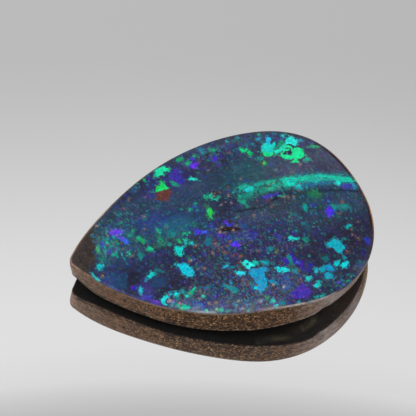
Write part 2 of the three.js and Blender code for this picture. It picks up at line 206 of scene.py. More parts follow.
# Three drawings as text. A semicolon parts their entries, and each has red, green and blue as
# seen before its colon and its place in mm after it. First the flakes of play-of-colour in the
# face, with their strength where that isn't full, and the corners of their outlines.
FLAKES = """
122 66 255: -6.9,1.89 -6.65,2.04 -6.43,2.02 -6.2,1.9 -6.05,1.76 -6.12,1.56 -6.32,1.49 -6.53,1.4
    -6.7,1.59 -6.9,1.72;
85 78 235: -6.51,1.41 -6.36,1.37 -6.17,1.28 -6.12,.98 -6.29,.9 -6.43,1.06;
60 105 245: -6.15,1.1 -6.04,1.12 -5.97,.86 -6.02,.6 -6.22,.64 -6.28,.88;
60 50 165: -1.83,5.13 -1.54,5.37 -1.35,5.56 -1.16,5.42 -1.16,4.6 -1.02,4.5 -1.11,4.22 -1.4,4.12
    -1.64,4.41 -1.81,4.7;
100 50 240: -.25,5.56 .14,5.66 .14,5.42 -.01,5.13 -.22,5.13 -.3,5.37;
80 45 195: 1.23,5.54 1.4,5.71 1.54,5.82 1.6,5.65 1.52,5.42 1.34,5.34;
75 55 232: -1.79,.15 -1.64,.26 -1.54,.14 -1.56,-.07 -1.64,-.21 -1.78,-.17 -1.83,-.03;
60 80 240: -1.44,.05 -1.28,.01 -1.12,-.1 -1.04,-.21 -1.18,-.23 -1.42,-.15;
70 55 205: .18,.33 .33,.22 .41,-.09 .58,-.21 .37,-.33 .25,-.09 .14,.14;
75 40 190: -.58,-.54 -.4,-.6 -.21,-.77 -.29,-.89 -.48,-.79;
85 55 245: .02,-1.76 .14,-1.52 .33,-1.49 .45,-1.6 .47,-1.91 .37,-2.05 .21,-1.87 .1,-1.8;
70 30 210: -6.79,-2.5 -6.67,-2.41 -6.53,-2.5 -6.57,-2.64 -6.77,-2.66;
72 50 175: 2.31,-6.42 2.44,-6.19 2.67,-6.13 2.94,-5.96 3.21,-5.76 3.33,-5.88 3.37,-6.11 3.58,-6.11
    3.6,-6.42 3.41,-6.65 3.14,-6.77 2.83,-6.77 2.56,-6.73 2.36,-6.61;
60 40 160: 3.5,-4.0 3.84,-4.1 3.8,-4.8 3.55,-4.75;
60 40 170: 4.18,-4.39 4.43,-4.42 4.4,-4.65 4.2,-4.62;
62 42 165: 3.2,-3.4 3.45,-3.5 3.5,-4.35 3.25,-4.3;
60 45 160: 2.6,-3.8 2.95,-3.7 3.0,-4.1 2.7,-4.2;
82 62 225: 4.14,1.56 4.36,1.68 4.36,1.54 4.18,1.36 4.11,1.42;
72 58 195: 3.19,1.47 3.6,1.51 4.13,1.52 4.1,1.38 3.58,1.28 3.2,1.33;
60 160 140: 4.2,1.27 4.39,1.3 4.55,1.19 4.39,1.15;
75 50 240: 6.78,-1.1 6.85,-.6 6.93,-.43 7.07,-.33 7.2,-.3 7.27,-.6 7.2,-.9 7,-1.07 6.87,-1.13;
28 238 175: -2.55,5.85 -2.22,5.92 -1.98,6.02 -1.88,5.97 -1.86,5.82 -1.69,5.7 -1.71,5.56 -1.93,5.54
    -2.17,5.56 -2.24,5.32 -2.65,5.32 -2.62,5.56;
25 225 115: -3.08,4.07 -2.26,4.08 -2.36,4.41 -2.46,4.79 -2.53,4.84 -2.65,4.5 -2.89,4.53 -3.03,4.31;
30 165 110: -5.43,.97 -5.21,1.08 -5.14,.86 -5,.61 -5,.39 -5.18,.21 -5.25,.54 -5.43,.68;
15 195 150: -5.01,0 -4.82,0 -4.67,-.26 -4.71,-.38 -4.96,-.35 -5.03,-.18;
45 212 92: -.39,1.72 -.38,1.49 -.23,1.39 -.22,1.2 -.39,1.06 -.44,.84 -.43,.6 -.48,.68 -.54,.91
    -.59,1.08 -.55,1.25 -.57,1.45;
60 125 75 .9: -.55,1.83 -.38,1.91 -.37,1.71 -.46,1.49 -.57,1.56;
25 150 120: -2.02,4.65 -1.78,4.6 -1.54,4.19 -1.59,4.07 -1.88,4.22 -1.98,4.46;
20 170 110: -1.06,6.18 -.92,6.38 -.63,6.42 -.58,6.23 -.87,6.09;
30 165 130: -.63,5.75 -.39,5.97 -.25,5.99 -.2,5.8 -.3,5.61 -.49,5.56;
20 180 120: 1.29,6.54 1.37,6.6 1.46,6.43 1.72,6.34 1.75,6.23 1.57,6.23 1.32,6.4;
10 210 130: 3.21,5.88 3.29,5.94 3.41,5.82 3.52,5.65 3.7,5.82 3.7,5.65 3.52,5.51 3.29,5.51;
10 200 120: 3.61,5.48 3.81,5.54 3.84,5.25 3.72,5.05 3.61,5.19;
30 245 160: 6.15,5.12 6.41,5.26 6.55,5.07 6.55,4.84 6.61,4.66 6.82,4.61 6.94,4.91 7.04,4.84
    7.05,4.68 7.14,4.73 7.14,4.56 7.13,4.3 7.07,4.07 6.76,3.92 6.51,3.95 6.5,3.8 6.47,3.66 6.11,3.74
    6.4,3.94 6.36,4 6.1,4.05 5.8,4.13 5.65,4.31 5.64,4.56 5.76,4.74 6,4.9 6.2,4.93 6.4,4.92
    6.41,4.85 6.31,4.75 6.17,4.74 6.02,4.59 6.04,4.44 6.2,4.31 6.34,4.34 6.42,4.54 6.45,4.76
    6.45,4.98 6.35,5.1 6.22,5.05;
30 245 160: 6.61,4.66 6.58,4.76 6.72,4.93 6.79,4.87 6.95,4.92 6.91,4.59;
25 160 120: -.34,2.71 -.2,2.76 -.12,2.68 -.06,2.49 -.12,2.34 -.28,2.38 -.39,2.44;
22 205 165: .01,2.67 .14,2.69 .14,2.56 .03,2.43 .14,2.45 .15,2.3 .28,2.19 .36,2.1 .25,2.09 .08,2.2
    0,2.35 -.07,2.41;
28 165 135: .43,2.36 .62,2.36 .57,2.14 .43,2.13 .4,2.21;
15 180 190: 1.5,2.36 1.66,2.36 1.66,2.28 1.5,2.28;
15 200 225: -3.69,-1.81 -3.14,-1.92 -2.99,-2.14 -2.85,-2.47 -2.78,-2.76 -3.01,-2.95 -3.22,-2.91
    -3.42,-2.68 -3.51,-2.52 -3.51,-2.31;
0 215 205: -3.25,-.52 -3.11,-.65 -2.88,-.75 -2.92,-.91 -3.05,-1.04 -3.09,-1.25 -3.19,-1.33
    -3.34,-1.27 -3.36,-1.06 -3.44,-.87 -3.36,-.67;
20 190 190: -2.68,-.22 -2.6,-.29 -2.56,-.52 -2.63,-.64 -2.71,-.57;
10 200 195: -2.4,-.55 -2.29,-.51 -2.16,-.58 -2.23,-.72 -2.41,-.71;
30 185 110: -3.06,-.03 -2.96,-.05 -2.91,-.37 -3,-.36;
15 205 150: -4.01,1.18 -3.91,1.11 -3.86,.84 -3.92,.74 -4,.89;
35 150 120: -3.99,.71 -3.91,.62 -3.97,.39 -4.04,.44;
20 120 140: -1.55,-.87 -1.33,-.67 -1.1,-.71 -.95,-.64 -1.1,-.91 -1.29,-1.18 -1.49,-1.06;
30 185 195: -8.44,-.3 -8.24,-.27 -8.1,-.39 -7.98,-.36 -7.97,-.49 -8.17,-.57 -8.33,-.73 -8.41,-.75
    -8.46,-.6 -8.44,-.44;
75 185 120: -8.1,1.03 -7.99,1.04 -7.95,.76 -7.93,.6 -8.01,.57 -8.06,.79;
30 150 140: -7.39,1.49 -7.25,1.52 -7.19,1.25 -7.28,1.07 -7.36,1.16;
30 140 140: -5.75,-.36 -5.54,-.31 -5.41,-.58 -5.57,-.72 -5.72,-.87 -5.75,-.58;
10 205 200: -5.66,-2.02 -5.45,-1.94 -5.33,-1.83 -5.18,-1.98 -5.2,-2.12 -5.37,-2.16 -5.57,-2.25
    -5.64,-2.19;
25 115 125: -5.08,-1.77 -4.91,-1.71 -4.62,-1.94 -4.46,-2.19 -4.62,-2.14 -4.91,-1.92;
15 200 220: -6.32,-2.68 -6.22,-2.72 -6.26,-2.93 -6.36,-3.05 -6.46,-2.95 -6.42,-2.78;
28 232 232: -5.35,-4.02 -5.28,-3.86 -5.1,-3.7 -4.9,-3.66 -4.84,-3.82 -4.95,-3.92 -5.12,-3.98
    -5.2,-4.16 -5.05,-4.33 -5.25,-4.25;
145 168 172 .9: -3.35,-5.52 -2.9,-5.66 -2.45,-5.76 -2.4,-5.95 -2.9,-5.9 -3.4,-5.66;
120 155 160 .8: -4.2,-5.08 -3.8,-5.25 -3.35,-5.48 -3.4,-5.62 -3.9,-5.42 -4.25,-5.2;
16 225 220: -4.48,-3.76 -4.33,-3.7 -4.2,-3.84 -4.27,-3.98 -4.35,-4.14 -4.44,-4.0;
30 150 140: -4.13,-3.76 -3.88,-3.63 -3.8,-3.76 -3.8,-3.96 -3.69,-4.13 -3.69,-4.25 -3.82,-4.25
    -3.92,-3.96 -4.04,-3.8;
20 195 155: -3.59,-4.05 -3.38,-3.88 -3.14,-3.74 -3.01,-3.84 -3.14,-3.94 -3.38,-4.09 -3.53,-4.15;
40 245 240: .2,-3.23 .39,-3.12 .53,-3.17 .62,-3.37 .76,-3.52 .89,-3.68 .82,-3.75 .58,-3.7 .47,-3.81
    .31,-3.71 .27,-3.52 .19,-3.41;
10 200 185: .84,-3.35 .93,-3.31 1.11,-3.48 1.09,-3.68 .97,-3.73 .85,-3.56;
10 155 170: 1.2,-3.5 1.38,-3.52 1.69,-3.71 1.65,-3.85 1.47,-3.77 1.28,-3.64;
35 220 240: -.38,-3.73 -.19,-3.73 .08,-3.89 .08,-4.06 -.03,-4.1 -.19,-4 -.38,-3.87;
10 180 215: -.94,-2.98 -.71,-2.98 -.65,-3.08 -.77,-3.13 -.98,-3.21;
10 140 170: -.61,-3.21 -.5,-3.21 -.34,-3.35 -.42,-3.42 -.58,-3.33;
24 160 208: .47,-3.83 .74,-3.91 .97,-4.02 1.2,-3.99 1.47,-4.02 1.51,-4.14 1.4,-4.33 1.24,-4.33
    1.16,-4.57 1.13,-4.8 1.24,-4.91 1.13,-5.15 1.05,-5.38 .85,-5.49 .58,-5.69 .43,-5.69 .47,-5.49
    .39,-5.38 .22,-5.26 .27,-5.11 .51,-4.99 .47,-4.8 .51,-4.57 .37,-4.37 .39,-4.14;
20 140 150: -1.47,-4.26 -1.31,-4.26 -1.08,-4.49 -.89,-4.6 -.69,-4.87 -.69,-5.03 -.85,-5.15
    -1.04,-5.11 -1.16,-4.76 -1.27,-4.49 -1.43,-4.37;
8 224 232: 2.02,-4.57 2.09,-4.26 2.21,-4.24 2.32,-4.37 2.52,-4.37 2.79,-4.55 2.75,-4.68 2.52,-4.74
    2.29,-4.6 2.13,-4.72;
15 145 190: 1.32,-5.18 1.4,-5.03 1.59,-5.03 1.74,-5.3 1.67,-5.44 1.4,-5.46 1.36,-5.3;
20 130 150: 2.05,-2.9 2.21,-2.75 2.4,-2.71 2.31,-2.94 2.13,-2.98;
20 135 140: 2.96,-3.68 3.18,-3.44 3.37,-3.64 3.29,-3.95 3.14,-4.26 2.94,-4.29 3.06,-4.02;
20 140 155: 2.94,-4.6 3.18,-4.64 3.37,-4.72 3.21,-5.03 3.06,-4.91 2.94,-4.76;
45 205 185: .98,-6.5 1.09,-6.34 1.2,-6.46 1.12,-6.62;
20 228 225: 1.03,-6.84 1.16,-6.74 1.3,-6.8 1.18,-6.93;
20 130 150: 1.4,-6.68 1.7,-6.65 1.74,-6.9 1.45,-6.92;
30 235 220: 3.62,-2.26 3.67,-2.15 3.88,-2.23 4.05,-2.34 4.2,-2.43 4.09,-2.49 3.92,-2.43 3.65,-2.38;
25 130 115: 4.43,-2.51 4.73,-2.34 4.88,-2.55 4.82,-2.77 4.65,-2.9 4.56,-2.73;
15 180 200: 5.86,-3.24 6.01,-3.02 6.27,-2.98 6.35,-2.83 6.57,-2.85 6.87,-3.02 6.89,-3.28 7.04,-3.41
    6.99,-3.58 6.7,-3.83 6.52,-3.96 6.35,-3.83 6.27,-3.58 6.23,-3.41 5.97,-3.41;
5 215 220: 5.8,-4.77 5.93,-4.56 6.23,-4.45 6.23,-4.6 6.06,-4.82 5.89,-4.86;
10 230 235: 6.29,-4.94 6.4,-4.73 6.65,-4.58 6.82,-4.65 6.76,-4.82 6.52,-5.03 6.35,-5.01;
25 110 115: 5.2,-4.1 5.6,-4.05 5.63,-4.35 5.25,-4.39;
15 195 215: 4.35,-5.11 4.43,-4.9 4.61,-4.86 4.61,-5.03 4.48,-5.18;
20 160 185: 4.71,-5.11 4.73,-4.86 4.99,-4.77 5.16,-4.73 5.16,-4.99 5.03,-5.11 4.86,-5.18;
20 150 200: 5.16,-4.73 5.54,-4.69 5.69,-4.9 5.59,-5.16 5.33,-5.16 5.16,-4.99;
15 165 195: 4.86,-5.41 5.03,-5.24 5.25,-5.24 5.37,-5.37 5.46,-5.54 5.37,-5.67 5.07,-5.73 4.88,-5.67;
15 210 210: 3.6,-5.41 3.75,-5.28 4.01,-5.41 3.97,-5.56 3.75,-5.63 3.62,-5.54;
5 215 215: 3.92,-6.1 4.14,-5.92 4.39,-5.84 4.37,-6.05 4.18,-6.18 3.99,-6.16;
20 160 160: 3.67,-6.8 3.95,-6.74 3.97,-6.9 3.7,-6.95;
20 160 160: 4.07,-6.8 4.37,-6.76 4.39,-6.9 4.1,-6.93;
20 150 130: 6.14,-6.05 6.4,-5.88 6.44,-6.0 6.2,-6.1;
30 230 205: -.78,4.46 -.68,4.48 -.3,4.26 -.27,4.17 -.44,4.14 -.73,4.29;
32 190 228: 5.37,6.35 5.52,6.24 5.5,6.03 5.36,5.9 5.28,5.66 5.05,5.6 5.02,5.8 5.1,5.96 5.22,6.2;
28 224 212: 5.12,5.92 5.2,5.72 5.25,5.59 5.4,5.61 5.54,5.75 5.68,5.81 5.61,5.59 5.44,5.33 5.3,5.16
    5.27,4.97 5.13,4.94 4.85,5.06 4.61,5.19 4.57,5.31 4.67,5.66 4.87,5.76;
25 228 145: 4.58,5.2 4.84,5.05 5.13,4.94 5.26,4.92 5.13,4.69 4.9,4.67 4.66,4.68 4.53,4.83;
28 158 125 .85: 6.1,5.84 6.26,5.74 6.27,5.6 6.14,5.47 5.86,5.3 5.62,5.13 5.36,5.08 5.42,5.27
    5.68,5.43 5.91,5.69;
48 238 226: 6.79,5.98 6.94,5.89 6.99,5.66 7.11,5.54 7.04,5.31 6.84,5.07 6.71,5.15 6.66,5.31 6.5,5.36
    6.36,5.37 6.27,5.44 6.41,5.69 6.61,5.9;
34 236 195: 6.3,5.52 6.4,5.36 6.15,5.1 5.94,4.93 5.7,4.82 5.44,4.72 5.28,4.82 5.34,5.0 5.61,5.05
    5.82,5.21 6.11,5.4;
20 190 205: 6.23,6.2 6.35,6.29 6.45,6.23 6.34,6.06 6.23,6.08;
30 150 185: 4.66,6.46 4.81,6.48 4.81,6.29 4.66,6.2 4.58,6.31;
25 160 140: 4.79,6.81 4.98,6.82 4.96,6.66 4.81,6.62;
60 165 125 .85: 7.66,4.82 7.95,4.96 8.3,4.87 8.47,4.75 8.28,4.7 7.9,4.71;
40 168 145: 7.18,3.98 7.34,3.91 7.37,3.61 7.05,3.63 6.92,3.73;
70 205 95: 4.24,4.27 4.4,4.33 4.44,4.2 4.32,4.01 4.2,4.06;
30 150 140: 4.12,4.81 4.43,4.71 4.43,4.56 4.17,4.48 4.03,4.64;
34 118 82 .8: 6.19,1.03 6.92,1.11 6.86,.7 6.18,.72;
34 135 138 .75: 7.52,-.21 8.2,-.26 8.59,-.55 8.14,-.66 7.48,-.56;
30 40 58 .8: 7.0,1.12 8.09,1.02 9.04,.84 9.6,.6 9.6,.54 9.0,.76 8.05,.93 6.98,1.04;
28 32 48 .8: 1.1,.8 1.94,.72 2.97,.62 3.84,1.12 4.49,1.27 4.5,1.2 3.86,1.02 2.99,.52 1.94,.62
    1.1,.7;
28 72 110 .6: -7.62,-1.19 -6.81,-1.45 -7.15,-2.51 -7.78,-2.15;
32 36 55 .7: -6.74,-1.37 -5.98,-1.62 -6.19,-2.35 -7.03,-2.3;
35 70 110 .5: -5.39,-2.13 -4.63,-2.39 -4.87,-3.11 -5.62,-2.85;
22 222 220: 2.4,2.37 2.71,2.52 2.86,2.23 2.74,2.09 2.33,2.13;
26 185 160 .9: 2.0,2.65 2.4,2.78 2.7,2.62 2.45,2.5 2.1,2.45;
26 135 122 .8: 2.05,1.9 2.3,2.05 2.55,1.85 2.4,1.62 2.1,1.6;
24 178 158 .8: 3.05,2.55 3.4,2.72 3.75,2.6 3.6,2.4 3.2,2.38;
24 185 150 .9: 3.85,2.6 4.3,2.66 4.6,2.55 4.3,2.42 3.95,2.42;
26 142 122 .7: 3.1,2.2 3.5,2.25 3.9,2.15 3.7,1.95 3.2,1.95;
28 180 150 .85: 4.1,2.25 4.7,2.3 4.85,2.05 4.4,1.98;
20 220 188: 4.98,2.58 5.23,2.62 5.54,2.52 6.03,2.42 6.01,2.26 5.76,2.04 5.52,1.86 5.24,1.89
    4.98,1.97 4.92,2.19;
26 212 174: 6.03,2.44 6.57,2.46 7.02,2.43 7.43,2.38 7.4,2.05 6.88,2.09 6.43,2.13 5.97,2.15;
30 190 168 .9: 5.97,2.13 6.43,2.11 6.88,2.07 7.4,2.03 7.9,1.95 7.9,1.8 7.22,1.87 6.81,1.89 6.37,1.95
    5.86,1.97;
24 214 180: 7.43,2.38 8.5,2.14 9.1,1.97 9.6,1.82 9.85,1.5 9.6,1.44 9.1,1.57 8.5,1.72 7.95,1.9
    7.42,2.02;
36 120 150 .8: 6.08,1.92 6.63,1.87 6.92,1.8 6.8,1.48 6.32,1.52 6.02,1.65;
40 110 165 .7: 7.2,1.8 8.0,1.7 8.0,1.5 7.2,1.5;
20 225 222: 5.64,1.81 5.81,1.86 5.95,1.71 5.83,1.54 5.59,1.59;
30 185 180: 5.95,1.71 6.11,1.6 5.99,1.41 5.6,1.46 5.7,1.57;
15 215 220: 6.97,1.94 7.23,1.92 7.14,1.67 6.9,1.69;
30 228 215: 8.45,1.78 8.68,1.74 8.74,1.5 8.43,1.36 8.33,1.55;
68 62 180 .75: 8.7,1.36 9.4,1.3 9.45,1.05 8.75,1.06;
40 150 185 .8: 9.35,1.4 9.75,1.3 9.7,.95 9.4,.95;
45 242 195: 3.78,1.9 4.01,1.99 4.15,1.91 4.05,1.77 3.79,1.79;
20 170 140: 1.72,1.92 1.8,2.06 1.92,1.88 1.88,1.72 1.8,1.76;
30 160 130: 1.6,1.44 1.72,1.6 1.8,1.56 2.02,1.52 2,1.32 1.92,1.16 1.76,1.24;
15 150 145: 5.44,.04 5.62,.28 5.78,.16 5.74,-.08 5.56,-.44 5.44,-.24;
20 135 140: 7.3,-.23 7.4,-.07 7.53,-.2 7.63,-.37 7.57,-.6 7.47,-.67 7.4,-.47;
15 190 195: 7.65,-2.07 7.77,-1.92 7.93,-1.88 8.1,-1.9 8.07,-2 7.87,-2 7.77,-2.17 7.67,-2.22;
105 62 56: -3.08,4.05 -2.26,4.05 -2.14,3.74 -2.36,3.45 -2.55,3.18 -3.08,3.33 -3.37,3.45 -3.13,3.69;
40 28 25: -.29,-.29 .02,-.25 .37,-.33 .6,-.44 .95,-.62 .9,-.75 .6,-.67 .37,-.71 .1,-.56 -.21,-.44;
40 35 35: -.89,-4.49 -.65,-4.41 -.46,-4.33 -.42,-4.39 -.69,-4.53;
90 60 180: -6.3,-3.42 -6.15,-3.4 -5.4,-3.98 -5.45,-4.12 -5.65,-4.05;
50 210 210: -9.02,-.8 -8.9,-.85 -8.52,-1.4 -8.62,-1.5 -8.75,-1.35;
40 60 180 .8: 8.5,-3.0 8.75,-2.95 9.0,-3.1 8.8,-3.5 8.6,-3.55;
60 40 160 .8: 3.9,-4.75 4.12,-4.8 4.1,-5.02 3.9,-5.0;
45 50 80: 6.09,4.65 6.17,4.51 6.3,4.42 6.39,4.52 6.48,4.84 6.45,4.97 6.34,4.9 6.2,4.78;
40 45 75: 6.16,5.26 6.33,5.38 6.47,5.4 6.59,5.28 6.66,5.1 6.76,5.07 6.62,5.04 6.54,5.21 6.44,5.32
    6.33,5.31 6.17,5.2
"""

# How far out a flake's edge is felt, in mm.
FLAKE_REACH = 0.35

# Fainter, broken patches of colour: x and y of the middle and the two reaches.
BLURS = """
70 55 160: 1.5,4.93 .12,.2; 50 40 130: 1.83,5.73 .09,.1; 50 60 160: -.67,.16 .16,.22;
45 75 190: -1.16,-.48 .1,.09; 40 65 190: .05,-1.08 .12,.18; 55 45 150: -1.77,-1.66 .14,.17;
65 55 140: -3.88,-4.63 .13,.17; 55 45 140: 7.23,.23 .24,.2; 50 55 165: 6.13,.03 .2,.14;
80 70 210: 5.65,-6.08 .12,.11; 50 40 140: 8.15,-4.1 .16,.2; 60 45 140: 3,-2.05 .22,.45;
50 45 160: 1.5,-1.44 .3,.36; 45 50 120: 2.65,-1.3 .26,.26; 55 50 130: 1.25,-.15 .26,.16;
55 40 130: 4,-2.05 .2,.26; 65 65 165: 9,1.15 .4,.25; 55 45 130: -3.15,5.32 .22,.24;
55 45 130: -3.45,3.95 .36,.36; 75 70 140: 8.1,5.25 .3,.16; 65 60 140: 6,5.95 .2,.16;
65 80 200: -7.58,1 .1,.3; 65 75 190: -7.35,.4 .13,.15; 35 80 140: 1.2,-.56 .2,.2;
30 85 150: 2.25,-5.3 .2,.2; 30 80 150: 2.3,-5.86 .14,.14; 40 110 150: -4.35,4.82 .26,.24;
35 125 85: 6.6,.92 .38,.32; 35 135 115: -4.05,.05 .32,.25; 25 140 130: -3.27,.45 .24,.25;
30 150 110: -2.95,-.18 .09,.18; 20 150 130: -2.76,.25 .09,.12; 30 160 125: -1.52,1.9 .09,.15;
35 115 90: -1.65,.72 .16,.2; 40 125 100: 2.02,.98 .18,.15; 45 130 110: 4.42,1.2 .15,.08;
20 200 110: -3.51,5.32 .08,.13; 30 130 100: -2.84,5.32 .1,.14; 80 180 130: -8,.86 .1,.19;
25 165 120: -7.98,-.08 .15,.09; 35 140 110: -2.85,-1.6 .12,.12; 15 205 160: -4.1,-4.87 .2,.15;
20 150 150: -3.6,-.28 .11,.12; 30 185 160: -7.28,1.24 .07,.2; 30 160 135: -7.18,.1 .12,.15;
30 165 145: -3.95,.97 .09,.2; 30 140 120: -5.75,1.23 .18,.24; 30 105 160: -2.83,-3.92 .15,.08;
50 130 180: -4.7,-4.35 .2,.15; 50 130 130: .17,-4.8 .14,.15; 15 120 160: 2.56,-5.08 .07,.13;
20 120 130: 6.62,-2.68 .12,.09; 20 120 130: 7.19,-2.9 .15,.09; 20 130 190: 5.88,-6.22 .09,.08;
20 110 130: 7.57,-4.8 .19,.15; 35 140 160: .83,6.5 .16,.32; 30 150 150: 4.2,6.04 .12,.08;
25 130 150: 9.48,1.1 .13,.2; 40 90 190: 7.4,-.66 .1,.13; 30 110 115: 8.15,-.45 .32,.22;
30 85 100: 5.15,-1.65 .15,.35; 110 70 80: 3.45,1 .22,.16; 105 85 80: -.13,-4.6 .24,.27;
90 55 60: -.02,-3.3 .14,.25; 30 100 160: -.6,-5.9 .4,.12; 44 130 140: .3,-6.2 .5,.1;
50 80 190: -6.2,-3.4 .4,.12; 100 110 170: -4.69,-4.24 .16,.12; 55 115 190: -3.25,-5.11 .26,.15;
40 130 165: -3.44,-4.9 .13,.12; 70 50 160: -3.92,-4.56 .2,.15; 30 150 130: 2.5,2.2 .7,.55;
28 145 122: 3.4,2.2 .8,.42; 28 140 120: 4.4,2.2 .8,.4; 26 160 140: 5.5,2.2 .9,.45;
30 140 140: 6.7,2.2 1.1,.38; 40 105 140: 7.2,1.75 1.3,.3; 34 140 140: 8.3,2 1.2,.35;
36 110 140: 9.3,1.6 .6,.4; 30 120 110: 1.85,1.6 .25,.6; 30 110 160: -2.42,-4.09 .2,.12;
70 120 180: -1.16,-6.25 .25,.1; 70 150 150: -1.8,-6.08 .25,.1; 130 125 155: -3.7,-5.2 .6,.12
"""

